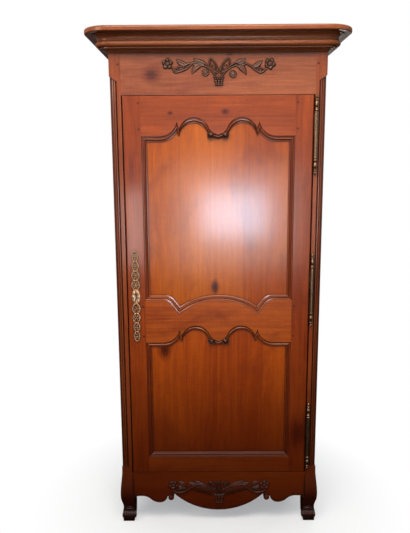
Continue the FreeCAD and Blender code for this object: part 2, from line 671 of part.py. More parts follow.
def back_mortises():
    """Mortises and grooves of the left back stile."""
    inner = f"-{BACK_STILE_INNER}"
    made = [
        box("groove_aft", SIDE_SLOT_X, (f"{BACK_STILE_FRONT} - 1", f"{BACK_STILE_FRONT} + side_groove"),
            SIDE_PANEL_Z),
        box("groove_boards", (f"{inner} - side_groove", f"{inner} + 1"), BOARD_SLOT_Y, BOARD_Z),
    ]
    width = grown(*SIDE_TENON_X, "tenon_play")
    y = (f"{BACK_STILE_FRONT} - 1", f"{BACK_STILE_FRONT} + case_tenon + tenon_play")
    for which, span in SIDE_RAILS.items():
        made.append(box(f"mortise_aft_{which}", width, y, grown(*tenon_height(*span), "tenon_play")))
    x = (f"{inner} - back_tenon - tenon_play", f"{inner} + 1")
    y = grown(*BACK_TENON_Y, "tenon_play")
    for name, span in BACK_RAILS.items():
        made.append(box(f"mortise_{name}", x, y, grown(*tenon_height(*span), "tenon_play")))
    return made


def front_peg_places(side):
    """x and z of the pegs through a front stile and the front rails' tenons."""
    sign = "-1" if side == "left" else "1"
    for name, (_, high) in {"base": BASE_TENON, "frieze": FRIEZE_TENON}.items():
        yield f"{name}_{side}", f"{sign} * ({OPENING} + peg_inset)", f"{high} - 3 * peg_radius"


def side_peg_places():
    """y and z of the pegs through the left stiles and the side rails' tenons."""
    for which, span in SIDE_RAILS.items():
        low, high = tenon_height(*span)
        for row, level in enumerate((f"{low} + 3 * peg_radius", f"{high} - 3 * peg_radius")):
            yield f"{which}_fore_{row}", f"{STILE_BACK} - peg_inset", level
            yield f"{which}_aft_{row}", f"{BACK_STILE_FRONT} + peg_inset", level


def front_holes(side):
    made = []
    for name, x, z in front_peg_places(side):
        made.append(rod(f"hole_{name}", "peg_radius + peg_play", x, f"{FRONT} - 1", z, f"{PEG_DEPTH} + 1", Y))
    return made


def side_holes():
    made = []
    for name, y, z in side_peg_places():
        made.append(rod(f"hole_{name}", "peg_radius + peg_play", f"-{HALF} - 1", y, z,
                        f"{SIDE_PEG_DEPTH} + 1", X))
    return made


def case_pegs():
    pegs = []
    for side in ("left", "right"):
        for name, x, z in front_peg_places(side):
            pegs.append(rod(f"peg_{name}", "peg_radius", x, f"{FRONT} - peg_proud", z,
                            f"{PEG_DEPTH} + peg_proud", Y))
    for name, y, z in side_peg_places():
        length = f"{SIDE_PEG_DEPTH} + peg_proud"
        left = rod(f"peg_{name}", "peg_radius", f"-{HALF} - peg_proud", y, z, length, X)
        pegs += [left, mirrored(f"peg_{name}_right", left)]
    piece("case_pegs", group("case_pegs", pegs))


# ---------------------------------------------------------------- front rails

def rail_tenons(name, height):
    """Tenons on both ends of a front rail."""
    right = (f"{OPENING} - 1", f"{OPENING} + case_tenon")
    spans = {"right": right, "left": opposite(right)}
    return [box(f"{name}_tenon_{side}", x, FRONT_TENON_Y, height) for side, x in spans.items()]


def rail_ends(name):
    """What a front rail's back half loses at its ends, where the stiles' lips are."""
    right = (INNER, f"{OPENING} + 1")
    spans = {"right": right, "left": opposite(right)}
    return [box(f"{name}_end_{side}", x, (STOP, f"{RAIL_BACK} + 1"), ("0", "total_height"))
            for side, x in spans.items()]


def base_rail():
    """The apron: a shaped board with a bead along its edge, two volutes, and a lip behind the door."""
    relief, line, bead = size.apron_relief, size.apron_line, size.apron_bead
    board = Part.makeLoft([apron_wire(relief, 0), apron_wire(0, relief), apron_wire(0, size.rail_depth)],
                          True, True)
    channel = apron_slab(bead, -PAST, relief).cut(apron_slab(bead + line, -2 * PAST, relief + PAST))
    form = board.cut(channel)
    for side in (-1, 1):
        where = point(side * at.apron_volute_out, at.front - relief / 2, size.apron_volute_height)
        form = form.fuse(Part.makeCylinder(size.apron_volute_radius, size.door_thickness, where, point(*Y)))
    lip = box("base_lip", (f"-{INNER}", INNER), (STOP, RAIL_BACK), ("base_top - 1", FLOOR_TOP))
    whole = fuse("base_whole", [shape("apron", form), lip] + rail_tenons("base", BASE_TENON))
    ledge_y = (f"{RAIL_BACK} - ceiling_groove", f"{RAIL_BACK} + 1")
    ledge = box("base_ledge", (f"-{HALF}", HALF), ledge_y,
                (f"{FLOOR_TOP} - shelf_thickness", f"{FLOOR_TOP} + 1"))
    tools = [ledge] + rail_ends("base") + front_holes("left") + front_holes("right")
    piece("base_rail", cut("base_rail", whole, tools))


def frieze_rail():
    board = box("frieze_board", (f"-{OPENING}", OPENING), (FRONT, RAIL_BACK), (FRIEZE_BOTTOM, CASE_TOP))
    lip_z = (f"{FRIEZE_BOTTOM} - stop_lip", f"{FRIEZE_BOTTOM} + 1")
    lip = box("frieze_lip", (f"-{INNER}", INNER), (STOP, RAIL_BACK), lip_z)
    whole = fuse("frieze_whole", [board, lip] + rail_tenons("frieze", FRIEZE_TENON))
    groove = ceiling_slot("frieze_groove", (f"-{HALF}", HALF),
                          (f"{RAIL_BACK} - ceiling_groove", f"{RAIL_BACK} + 1"))
    tools = [groove] + rail_ends("frieze") + front_holes("left") + front_holes("right")
    piece("frieze_rail", cut("frieze_rail", whole, tools))


def ceiling_slot(name, x, y):
    """A groove for the ceiling board."""
    low = f"{CASE_TOP} - ceiling_drop - ceiling_thickness"
    return box(name, x, y, grown(low, f"{CASE_TOP} - ceiling_drop", "board_play / 2"))


# ---------------------------------------------------------------- side frames

def side_frame():
    """The left side's rails and panels, and their mirror images."""
    body = (STILE_BACK, BACK_STILE_FRONT)
    past = grown(*body, "1")
    for which, (low, high) in SIDE_RAILS.items():
        board = box(f"side_{which}_board", (f"-{SIDE_OUT}", f"-{SIDE_IN}"), body, (low, high))
        tenons = box(f"side_{which}_tenons", SIDE_TENON_X, grown(*body, "case_tenon"),
                     tenon_height(low, high))
        tools = side_holes()
        if which != "top":
            tools.append(box(f"side_{which}_over", SIDE_SLOT_X, past,
                             (f"{high} - side_groove", f"{high} + 1")))
        if which != "bottom":
            tools.append(box(f"side_{which}_under", SIDE_SLOT_X, past,
                             (f"{low} - 1", f"{low} + side_groove")))
        if which == "top":
            tools.append(ceiling_slot("side_ceiling", (f"-{SIDE_IN} - ceiling_groove", f"-{SIDE_IN} + 1"),
                                      body))
        if which == "bottom":
            tools.append(shape("side_arch", side_arch()))
        left = cut(f"side_{which}_rail_left", fuse(f"side_{which}_whole", [board, tenons]), tools)
        piece(f"side_{which}_rail_left", left)
        piece(f"side_{which}_rail_right", mirrored(f"side_{which}_rail_right", left))
    side_panel("upper", SIDE_RAILS["middle"][1], SIDE_RAILS["top"][0])
    side_panel("lower", SIDE_RAILS["bottom"][1], SIDE_RAILS["middle"][0])


def side_arch():
    """The shallow arch sawn under a side bottom rail."""
    low = size.base_top - size.side_bottom_rail
    fore = at.front + size.stile_depth + size.side_arch_inset
    aft = at.back - size.back_stile - size.side_arch_inset
    crown = ((fore + aft) / 2, low + size.side_arch_rise)
    outline = [(fore, low), (crown, (aft, low)), (aft, low - PAST), (fore, low - PAST), (fore, low)]
    face = path_face(outline, lambda y, z: point(-at.half, y, z))
    return face.extrude(point(2 * size.side_thickness, 0, 0))


def side_panel(which, low, high):
    """A panel with a raised and bevelled field on the outside, held in grooves."""
    reach = "(side_groove - board_end_play)"
    length = grown(STILE_BACK, BACK_STILE_FRONT, reach)
    tongue = box(f"side_{which}_tongue", SIDE_TONGUE_X, length, grown(low, high, reach))
    long = f"({BACK_STILE_FRONT} - {STILE_BACK} - 2 * side_field_gap)"
    tall = f"({high} - ({low}) - 2 * side_field_gap)"
    field = doc.addObject("Part::Wedge", f"side_{which}_field")
    for prop in ("Xmin", "Ymin", "Zmin"):
        setattr(field, prop, 0)
    bind(field, "Ymax", "side_field_rise")
    bind(field, "Xmax", long)
    bind(field, "Zmax", tall)
    bind(field, "X2min", "side_bevel")
    bind(field, "Z2min", "side_bevel")
    bind(field, "X2max", f"{long} - side_bevel")
    bind(field, "Z2max", f"{tall} - side_bevel")
    bind(field, "Placement.Base.x", SIDE_TONGUE_X[0])
    bind(field, "Placement.Base.y", f"{STILE_BACK} + side_field_gap")
    bind(field, "Placement.Base.z", f"{low} + side_field_gap")
    field.Placement.Rotation = FreeCAD.Rotation(FreeCAD.Vector(*Z), 90)
    left = fuse(f"side_{which}_panel_left", [tongue, field])
    piece(f"side_{which}_panel_left", left)
    piece(f"side_{which}_panel_right", mirrored(f"side_{which}_panel_right", left))


# ---------------------------------------------------------------- back, floor, ceiling and shelves

def back_stiles():
    x = (f"-{HALF}", f"-{BACK_STILE_INNER}")
    blank = box("back_stile_blank", x, (BACK_STILE_FRONT, BACK), ("0", CASE_TOP))
    left = cut("back_stile_left", blank, back_mortises() + side_holes())
    piece("back_stile_left", left)
    piece("back_stile_right", mirrored("back_stile_right", left))


def back_frame():
    """The back rails and the boards between them."""
    span = (f"-{BACK_STILE_INNER}", BACK_STILE_INNER)
    for name, (low, high) in BACK_RAILS.items():
        board = box(f"{name}_board", span, (BACK_RAIL_FRONT, BACK), (low, high))
        tenons = box(f"{name}_tenons", grown(*span, "back_tenon"), BACK_TENON_Y, tenon_height(low, high))
        tools = [box(f"{name}_groove", span, BOARD_SLOT_Y, BOARD_Z)]
        if name == "back_top_rail":
            y = (f"{BACK_RAIL_FRONT} - 1", f"{BACK_RAIL_FRONT} + ceiling_groove")
            tools.append(ceiling_slot("back_ceiling", span, y))
        piece(name, cut(name, fuse(f"{name}_whole", [board, tenons]), tools))
    count = int(size.back_board_count)
    half = f"({BACK_STILE_INNER} + side_groove - board_end_play)"
    low, high = BOARD_Z
    boards = []
    for n in range(count):
        start = f"(2 * {half} * {n} / {count} - {half})"
        x = (f"{start} + board_play / 2", f"{start} + 2 * {half} / {count} - board_play / 2")
        boards.append(box(f"back_board_{n}", x, BOARD_Y,
                          (f"{low} + board_end_play", f"{high} - board_end_play")))
    piece("back_boards", group("back_boards", boards))


def stile_notches(name, fore):
    """The corners that a board loses round the back stiles, and round the front ones where it passes them."""
    places = [((f"{BACK_STILE_INNER} - shelf_clearance", HALF),
               (f"{BACK_STILE_FRONT} - shelf_clearance", BACK))]
    if fore:
        places.append(((f"{INNER} - shelf_clearance", HALF), (FRONT, f"{STILE_BACK} + shelf_clearance")))
    made = []
    for n, (x, y) in enumerate(places):
        made.append(box(f"{name}_notch_right_{n}", x, y, ("0", "total_height")))
        made.append(box(f"{name}_notch_left_{n}", opposite(x), y, ("0", "total_height")))
    return made


def shelves():
    """The floor board, three shelves and their cleats."""
    side = f"({SIDE_IN} - shelf_clearance)"
    aft = f"{BACK_RAIL_FRONT} - shelf_clearance"
    levels = {"floor_board": FLOOR_TOP, "shelf_lower": "shelf_one", "shelf_middle": "shelf_two",
              "shelf_upper": "shelf_three"}
    cleats = []
    for name, level in levels.items():
        on_floor = name == "floor_board"
        fore = f"{RAIL_BACK} - ceiling_groove" if on_floor else f"{STILE_BACK} + shelf_clearance"
        board = box(f"{name}_blank", (f"-{side}", side), (fore, aft), (f"{level} - shelf_thickness", level))
        piece(name, cut(name, board, stile_notches(name, on_floor)))
        x = (f"-{SIDE_IN}", f"-{SIDE_IN} + cleat_width")
        height = (f"{level} - shelf_thickness - cleat_height", f"{level} - shelf_thickness")
        left = box(f"cleat_{name}", x, (STILE_BACK, BACK_STILE_FRONT), height)
        cleats += [left, mirrored(f"cleat_{name}_right", left)]
    piece("shelf_cleats", group("shelf_cleats", cleats))


def ceiling():
    reach = "ceiling_groove - board_end_play"
    side = f"({SIDE_IN} + {reach})"
    y = (f"{RAIL_BACK} - ({reach})", f"{BACK_RAIL_FRONT} + {reach}")
    z = (f"{CASE_TOP} - ceiling_drop - ceiling_thickness", f"{CASE_TOP} - ceiling_drop")
    blank = box("ceiling_blank", (f"-{side}", side), y, z)
    piece("ceiling_board", cut("ceiling_board", blank, stile_notches("ceiling", True)))


# ---------------------------------------------------------------- cornice

def crown_face(back_edge):
    """The crown's section, from its mouldings to a back edge of (distance out from the case, height) corners."""
    over, high, nose, edge = size.cornice_overhang, size.cornice_height, size.cornice_nose, size.cornice_edge
    under = high - size.cornice_rim
    path = [
        back_edge[-1],
        (over * 0.045, 0),
        ((over * 0.11, under * 0.1), (over * 0.27, under * 0.14)),
        (over * 0.27, under * 0.18),
        (over * 0.38, under * 0.18),
        (over * 0.38, under * 0.28),
        ((over * 0.54, under * 0.44), (over * 0.46, under * 0.6)),
        ((over * 0.5, under * 0.86), (over * 0.64, under * 0.95)),
        (over * 0.68, under * 0.95),
        (over * 0.68, under),
        (over - edge, under),
        rounding((over - edge, under + edge), edge, -45, 0),
        (over, high - nose),
        rounding((over - nose, high - nose), nose, 45, 90),
    ]
    pivot_x = at.half - size.cornice_corner
    return path_face(path + back_edge, lambda out, up: point(-pivot_x, at.front - out, at.case_top + up))


def cornice():
    """The crown: a moulded front and two returns, mitred at the round corners."""
    turn, high, bearing, shelf = size.cornice_corner, size.cornice_height, size.cornice_reach, size.dust_ledge
    pivot_x, pivot_y = at.half - turn, at.front + turn
    ledge = high - size.dust_drop - size.dust_thickness
    section = crown_face([(shelf - bearing, high), (shelf - bearing, ledge), (-bearing, ledge),
                          (-bearing, 0)])
    side_section = section.copy()
    side_section.rotate(point(-pivot_x, pivot_y, 0), point(*Z), -90)
    front_run = extruded("cornice_front_run", section, f"2 * ({HALF} - cornice_corner)", X)
    side_run = extruded("cornice_side_run", side_section, f"{BACK} - {FRONT} - cornice_corner", Y)
    pivot = (f"cornice_corner - {HALF}", f"{FRONT} + cornice_corner")
    corner = turned("cornice_turn", crown_face([(-turn, high), (-turn, 0)]), *pivot, angle=90, axis=DOWN)
    low, top = at.case_top - PAST, size.total_height + PAST

    def region(corners):
        return polygon_face([point(x, y, low) for x, y in corners]).extrude(point(0, 0, top - low))

    reach, inward = size.cornice_overhang + turn + PAST, bearing + PAST
    outer, inner = (-pivot_x - reach, pivot_y - reach), (-pivot_x + inward, pivot_y + inward)
    behind = at.back + PAST
    front_region = shape("cornice_front_region", region([outer, inner, flipped(inner), flipped(outer)]))
    side_region = shape("cornice_side_region", region([outer, inner, (inner[0], behind), (outer[0], behind)]))
    front_whole = fuse("cornice_front_whole", [front_run, corner, mirrored("cornice_turn_right", corner)])
    side_whole = fuse("cornice_side_whole", [side_run, corner])
    left = common("cornice_left", [side_whole, side_region])
    piece("cornice_front", common("cornice_front", [front_whole, front_region]))
    piece("cornice_left", left)
    piece("cornice_right", mirrored("cornice_right", left))


def cornice_boards():
    """The crown's back rail and the dust board on its ledges."""
    x = (f"cornice_reach - {HALF}", f"{HALF} - cornice_reach")
    seat = "total_height - dust_drop - dust_thickness"
    inner = f"{BACK} - cornice_reach"
    rail = box("cornice_back_blank", x, (inner, BACK), (CASE_TOP, "total_height"))
    rabbet = box("cornice_back_rabbet", x, (f"{inner} - 1", f"{inner} + dust_ledge"),
                 (seat, "total_height + 1"))
    ends = box("cornice_back_ends", grown(*x, "dust_ledge"), (f"{inner} + dust_ledge", BACK),
               (seat, "total_height"))
    piece("cornice_back", fuse("cornice_back", [cut("cornice_back_rail", rail, [rabbet]), ends]))
    fit = "(dust_ledge - board_end_play)"
    y = (f"{FRONT} + cornice_reach - {fit}", f"{inner} + {fit}")
    piece("cornice_dust_board", box("cornice_dust_board", grown(*x, fit), y,
                                    (seat, f"{seat} + dust_thickness")))


# ---------------------------------------------------------------- door frame and panels

DOOR_TENON_Y = (
    f"{FRONT} + (door_thickness - tenon_thickness) / 2",
    f"{FRONT} + (door_thickness + tenon_thickness) / 2",
)
DOOR_TENONS = {
    "top": (f"{UPPER_TOP} + tenon_shoulder", f"{DOOR_TOP} - tenon_shoulder"),
    "middle": (f"{LOWER_TOP} + tenon_shoulder", f"{UPPER_BOTTOM} - tenon_shoulder"),
    "bottom": (f"{DOOR_BOTTOM} + tenon_shoulder", f"{LOWER_BOTTOM} - tenon_shoulder"),
}


def rail_solid(which, low, high):
    """A door rail between two depths: shoulders on the stiles, then mitres through the moulding."""
    flat, step = at.door_flat, size.moulding_width + PAST
    under_panel = {"middle": at.upper_bottom, "bottom": at.lower_bottom}
    over_panel = {"top": at.upper_top, "middle": at.lower_top}
    above = [(flat, at.door_top)]
    below = [(flat, at.door_bottom)]
    if which in under_panel:
        above = [(flat - step, under_panel[which] + step), (flat, under_panel[which])]
    if which in over_panel:
        below = [(flat, over_panel[which]), (flat - step, over_panel[which] - step)]
    right = above + below
    corners = right + [flipped(place) for place in reversed(right)]
    face = polygon_face([point(x, at.front + low, z) for x, z in corners])
    return face.extrude(point(0, high - low, 0))


def door_peg_places(side):
    """x and z of the pegs through a door stile and the door rails' tenons."""
    sign = "-1" if side == "left" else "1"
    for which, (low, high) in DOOR_TENONS.items():
        levels = [f"{low} + 3 * peg_radius", f"{high} - 3 * peg_radius"]
        if which == "bottom":
            levels = [f"({low} + {high}) / 2"]
        for row, level in enumerate(levels):
            yield f"door_{which}_{side}_{row}", f"{sign} * ({DOOR_FLAT} + peg_inset)", level


def door_holes(side):
    made = []
    for name, x, z in door_peg_places(side):
        made.append(rod(f"hole_{name}", "peg_radius + peg_play", x, f"{FRONT} - 1", z, "door_thickness + 2",
                        Y))
    return made


def door_stiles(cutters):
    """The hinge stile on the right and the lock stile on the left."""
    turn, far, thick = size.door_round, at.door_half, size.door_thickness
    bow = turn * (1 - math.sqrt(0.5))
    near = at.door_flat - size.moulding_width - PAST
    outline = [(near, 0), (far - turn, 0), ((far - bow, bow), (far, turn)), (far, thick), (near, thick)]
    face = path_face(outline + outline[:1], lambda x, back: point(x, at.front + back, at.door_bottom))
    blank = extruded("door_stile_blank", face, f"{DOOR_TOP} - {DOOR_BOTTOM}", Z)
    seats = [shape(f"door_seat_{which}", rail_solid(which, -PAST, thick + PAST)) for which in DOOR_TENONS]
    reach = (f"{DOOR_FLAT} - 1", f"{DOOR_FLAT} + door_tenon + tenon_play")
    depth = grown(*DOOR_TENON_Y, "tenon_play")
    for which, span in DOOR_TENONS.items():
        seats.append(box(f"door_mortise_{which}", reach, depth, grown(*span, "tenon_play")))
    shared = cut("door_stile_shared", blank, seats + cutters)
    piece("door_hinge_stile", cut("door_hinge_stile", shared, door_holes("right") + leaf_seats()))
    other = mirrored("door_stile_mirrored", shared)
    fittings = keyhole() + lock_screws("lock_pilot") + nail_pilots()
    piece("door_lock_stile", cut("door_lock_stile", other, door_holes("left") + fittings))


def door_rails(cutters):
    """Three rails with tenons, shaped and moulded edges, and volutes where the small arches end."""
    for which, span in DOOR_TENONS.items():
        reach = (f"{DOOR_FLAT} - 1", f"{DOOR_FLAT} + door_tenon")
        tenons = [box(f"door_{which}_tenon_right", reach, DOOR_TENON_Y, span)]
        tenons.append(box(f"door_{which}_tenon_left", opposite(reach), DOOR_TENON_Y, span))
        blank = shape(f"door_{which}_blank", rail_solid(which, 0, size.door_thickness))
        shaped = cut(f"door_{which}_shaped", blank, cutters)
        whole = fuse(f"door_{which}_whole", [shaped] + tenons + rail_volutes(which))
        piece(f"door_{which}_rail", cut(f"door_{which}_rail", whole,
                                        door_holes("left") + door_holes("right")))


def rail_volutes(which):
    """The volutes that end the small arches, as domes in front of the panel."""
    tops = {"top": at.upper_top, "middle": at.lower_top}
    if which not in tops:
        return []
    radius = size.volute_radius
    depth = at.front + size.panel_recess - size.panel_slack
    made = []
    for side in (-1, 1):
        centre = point(side * size.volute_out, depth, tops[which] + size.volute_rise)
        keep = Part.makeBox(2 * radius, radius, 2 * radius, centre - point(radius, radius, radius))
        made.append(shape(f"door_{which}_volute", Part.makeSphere(radius, centre).common(keep)))
    return made


def door_panels():
    """Flat panels with shaped edges, held in the door frame's grooves."""
    low, high = size.panel_recess, size.panel_recess + size.panel_thickness
    inset = size.moulding_width - size.panel_groove + size.board_end_play
    for which in PANELS:
        piece(f"door_{which}_panel", shape(f"door_{which}_panel", panel_slab(which, inset, low, high)))


def door_pegs():
    pegs = []
    for side in ("left", "right"):
        for name, x, z in door_peg_places(side):
            pegs.append(rod(f"peg_{name}", "peg_radius", x, f"{FRONT} - peg_proud", z,
                            "door_thickness + peg_proud", Y))
    piece("door_pegs", group("door_pegs", pegs))


# ---------------------------------------------------------------- hinges

HINGES = {
    "bottom": f"({DOOR_BOTTOM} + hinge_low)",
    "middle": "(keyhole_height + hinge_middle)",
    "top": f"({DOOR_TOP} - hinge_high)",
}
LEAF_Y = (HINGE_Y, f"{FRONT} + hinge_leaf_depth")
FRAME_LEAF_X = (f"{HINGE_X} - hinge_leaf / 2", f"{HINGE_X} + hinge_leaf / 2")
DOOR_LEAF_X = (f"{DOOR_HALF} - hinge_leaf_seat", f"{DOOR_HALF} - hinge_leaf_seat + hinge_leaf")


def leaf_z(level, above):
    """Low and high ends of a leaf above or below a hinge's middle."""
    far = "hinge_barrel / 2 - hinge_leaf_inset"
    if above:
        return (f"{level} + hinge_gap", f"{level} + {far}")
    return (f"{level} - ({far})", f"{level} - hinge_gap")


def hinge_slots():
    """Slots in the right front stile for the frame leaves."""
    x = grown(*FRAME_LEAF_X, "hinge_seat_play")
    y = (f"{FRONT} - 1", f"{LEAF_Y[1]} + hinge_seat_play")
    return [box(f"slot_{name}", x, y, grown(*leaf_z(level, False), "hinge_seat_play"))
            for name, level in HINGES.items()]


def leaf_seats():
    """Seats in the door's edge for the door leaves."""
    x = (f"{DOOR_LEAF_X[0]} - hinge_seat_play", f"{DOOR_HALF} + 1")
    y = (f"{FRONT} - 1", f"{LEAF_Y[1]} + hinge_seat_play")
    return [box(f"seat_{name}", x, y, grown(*leaf_z(level, True), "hinge_seat_play"))
            for name, level in HINGES.items()]


def knuckle_face(middle, way):
    """Half the section of a hinge barrel with its turned finial, above (1) or below (-1) the hinge's middle."""
    radius, finial = size.hinge_radius, size.hinge_finial
    start = size.hinge_gap / 2
    end = size.hinge_barrel / 2
    profile = [
        (0, start),
        (radius, start),
        (radius, end),
        (radius * 0.72, end + finial * 0.03),
        (radius * 0.72, end + finial * 0.06),
        ((radius * 0.98, end + finial * 0.12), (radius * 0.66, end + finial * 0.18)),
        (radius * 0.45, end + finial * 0.26),
        ((radius * 0.95, end + finial * 0.42), (radius * 0.42, end + finial * 0.62)),
        (radius * 0.42, end + finial * 0.66),
        ((radius * 0.8, end + finial * 0.71), (radius * 0.4, end + finial * 0.76)),
        (radius * 0.34, end + finial * 0.8),
        ((radius * 0.62, end + finial * 0.88), (radius * 0.22, end + finial * 0.96)),
        (0, end + finial),
        (0, start),
    ]
    axis_x, axis_y = at.half - size.hinge_axis_inset, at.front - radius - size.hinge_gap
    return path_face(profile, lambda out, up: point(axis_x + out, axis_y, middle + way * up))


def hinges():
    """Three long hinges: the frame half holds the pin, and the door half turns on it."""
    for name, level in HINGES.items():
        middle = getattr(at, "hinge_" + name)
        lower = turned(f"hinge_lower_{name}", knuckle_face(middle, -1), HINGE_X, HINGE_Y)
        upper = turned(f"hinge_upper_{name}", knuckle_face(middle, 1), HINGE_X, HINGE_Y)
        low = f"{level} - pin_reach"
        pin = rod(f"hinge_{name}_pin", "hinge_pin", HINGE_X, HINGE_Y, low, "2 * pin_reach", Z)
        bore = rod(f"hinge_bore_{name}", "hinge_pin", HINGE_X, HINGE_Y, low, "pin_reach + 1", Z)
        run_length = "pin_reach + 1 + hinge_gap"
        run = rod(f"hinge_run_{name}", "hinge_pin + pin_play", HINGE_X, HINGE_Y, f"{level} - 1", run_length,
                  Z)
        frame_leaf = box(f"frame_leaf_{name}", FRAME_LEAF_X, LEAF_Y, leaf_z(level, False))
        door_leaf = box(f"door_leaf_{name}", DOOR_LEAF_X, LEAF_Y, leaf_z(level, True))
        frame_half = fuse(f"hinge_frame_whole_{name}", [lower, frame_leaf])
        door_half = fuse(f"hinge_door_whole_{name}", [upper, door_leaf])
        piece(f"hinge_{name}_frame_half", cut(f"hinge_frame_half_{name}", frame_half, [bore]))
        piece(f"hinge_{name}_door_half", cut(f"hinge_door_half_{name}", door_half, [run]))
        piece(f"hinge_{name}_pin", pin)


# ---------------------------------------------------------------- lock, key, keeper and escutcheon

BOLT_Y_MIDDLE = f"({DOOR_BACK} + lock_depth / 2)"
BOLT_Y = (f"{BOLT_Y_MIDDLE} - bolt_thickness / 2", f"{BOLT_Y_MIDDLE} + bolt_thickness / 2")
BOLT_Z = ("keyhole_height + bolt_rise - bolt_height / 2", "keyhole_height + bolt_rise + bolt_height / 2")
LOCK_X = (LOCK_END, f"{KEY_X} + lock_right")
LOCK_Z = ("keyhole_height + bolt_rise / 2 - lock_height / 2",
          "keyhole_height + bolt_rise / 2 + lock_height / 2")
KEEPER_Y = grown(*BOLT_Y, "(keeper_play + keeper_edge)")
KEEPER_Z = grown(*BOLT_Z, "keeper_margin")


def keyhole():
    """The hole for the key's shank and bit through the lock stile."""
    y = (f"{FRONT} - 1", f"{DOOR_BACK} + 1")
    shank = rod("keyhole_shank", "key_radius + keyhole_play", KEY_X, y[0], "keyhole_height",
                "door_thickness + 2", Y)
    x = grown(KEY_X, KEY_X, "(key_bit_thickness / 2 + keyhole_play)")
    low = "keyhole_height - key_radius - key_bit - keyhole_play"
    return [shank, box("keyhole_bit", x, y, (low, "keyhole_height"))]


def keeper_screws(name):
    """The two screws that hold the keeper plate, or their holes."""
    levels = (f"{KEEPER_Z[0]} + keeper_margin / 2", f"{KEEPER_Z[1]} - keeper_margin / 2")
    into = (-1, 0, 0)
    return [rod(name, "screw_radius", f"-{INNER}", BOLT_Y_MIDDLE, level, "screw_length", into)
            for level in levels]


def keeper_seat():
    """The keeper plate's seat in the left front stile, the pocket that the bolt enters and the screw holes."""
    plate = box("keeper_seat", (f"-{INNER} - keeper_plate", f"-{INNER} + 1"), KEEPER_Y, KEEPER_Z)
    depth = (f"{LOCK_END} - bolt_travel - keeper_play", f"-{INNER} + 1")
    pocket = box("keeper_pocket", depth, grown(*BOLT_Y, "keeper_play"), grown(*BOLT_Z, "keeper_play"))
    return [plate, pocket] + keeper_screws("keeper_pilot")


def keeper():
    x = (f"-{INNER} - keeper_plate", f"-{INNER}")
    plate = box("keeper_blank", x, KEEPER_Y, KEEPER_Z)
    window = box("keeper_window", grown(*x, "1"), grown(*BOLT_Y, "keeper_play"),
                 grown(*BOLT_Z, "keeper_play"))
    piece("keeper_plate", cut("keeper_plate_cut", plate, [window] + keeper_screws("keeper_hole")))
    piece("keeper_screws", group("keeper_screws", keeper_screws("keeper_screw")))


def lock_screws(name):
    """The four screws through the lock case's flanges, or their holes."""
    made = []
    for z in (f"{LOCK_Z[0]} - lock_flange / 2", f"{LOCK_Z[1]} + lock_flange / 2"):
        for x in (f"{LOCK_X[0]} + lock_flange", f"{LOCK_X[1]} - 2 * lock_flange"):
            made.append(rod(name, "screw_radius", x, f"{DOOR_BACK} + lock_wall", z, "screw_length",
                            (0, -1, 0)))
    return made


def lock():
    """The lock case on the back of the lock stile: a flanged box that guides the bolt, its screws and the bolt."""
    low, high = LOCK_Z
    back = f"{DOOR_BACK} + lock_depth"
    case = box("lock_box", LOCK_X, (DOOR_BACK, back), LOCK_Z)
    flange = box("lock_flanges", LOCK_X, (DOOR_BACK, f"{DOOR_BACK} + lock_wall"),
                 grown(low, high, "lock_flange"))
    inside_x = (f"{LOCK_X[0]} + lock_wall", f"{LOCK_X[1]} - lock_wall")
    inside_z = (f"{low} + lock_wall", f"{high} - lock_wall")
    hollow = box("lock_hollow", inside_x, (f"{DOOR_BACK} - 1", f"{back} - lock_wall"), inside_z)
    mouth_x = (f"{LOCK_X[0]} - 1", f"{LOCK_X[0]} + 2 * lock_wall")
    mouth = box("lock_mouth", mouth_x, grown(*BOLT_Y, "bolt_play"), grown(*BOLT_Z, "bolt_play"))
    bearing_y = f"{back} - 2 * lock_wall"
    bearing = rod("lock_bearing", "key_radius + key_play", KEY_X, bearing_y, "keyhole_height",
                  "3 * lock_wall", Y)
    shell = cut("lock_shell", fuse("lock_whole", [case, flange]),
                [hollow, mouth, bearing] + lock_screws("lock_hole"))
    rest = box("lock_rest", inside_x, (f"{BOLT_Y[1]} + bolt_play", back), grown(*BOLT_Z, "lock_wall"))
    piece("lock_case", fuse("lock_case_whole", [shell, rest]))
    piece("lock_screws", group("lock_screws", lock_screws("lock_screw")))
    piece("lock_bolt", box("lock_bolt", (LOCK_END, f"{LOCK_END} + bolt_length"), BOLT_Y, BOLT_Z))


def key():
    """A key with a ring bow that stands upright when the door is unlocked."""
    bow_y = f"({FRONT} - key_reach)"
    start = f"({bow_y} + key_bow)"
    length = f"{DOOR_BACK} + lock_depth - lock_wall / 2 - {start}"
    shank = rod("key_shank", "key_radius", KEY_X, start, "keyhole_height", length, Y)
    collar = rod("key_collar", "key_radius * 1.5", KEY_X, f"{start} + key_bow_wire", "keyhole_height",
                 "key_bow_wire", Y)
    bow = doc.addObject("Part::Torus", "key_ring")
    bind(bow, "Radius1", "key_bow")
    bind(bow, "Radius2", "key_bow_wire")
    for axis, words in zip("xyz", (KEY_X, bow_y, "keyhole_height")):
        bind(bow, f"Placement.Base.{axis}", words)
    bow.Placement.Rotation = FreeCAD.Rotation(FreeCAD.Vector(*Z), FreeCAD.Vector(*X))
    bit_x = grown(KEY_X, KEY_X, "key_bit_thickness / 2")
    bit_y = grown(BOLT_Y_MIDDLE, BOLT_Y_MIDDLE, "key_bit_width / 2")
    bit = box("key_bit_blank", bit_x, bit_y, ("keyhole_height - key_radius - key_bit", "keyhole_height"))
    piece("key", fuse("key", [shank, collar, bow, bit]))


def ellipse_face(centre, wide, tall):
    side, top = centre + point(wide, 0, 0), centre + point(0, 0, tall)
    major, minor = (top, side) if tall > wide else (side, top)
    return Part.Face(Part.Wire(Part.Ellipse(major, minor, centre).toShape()))


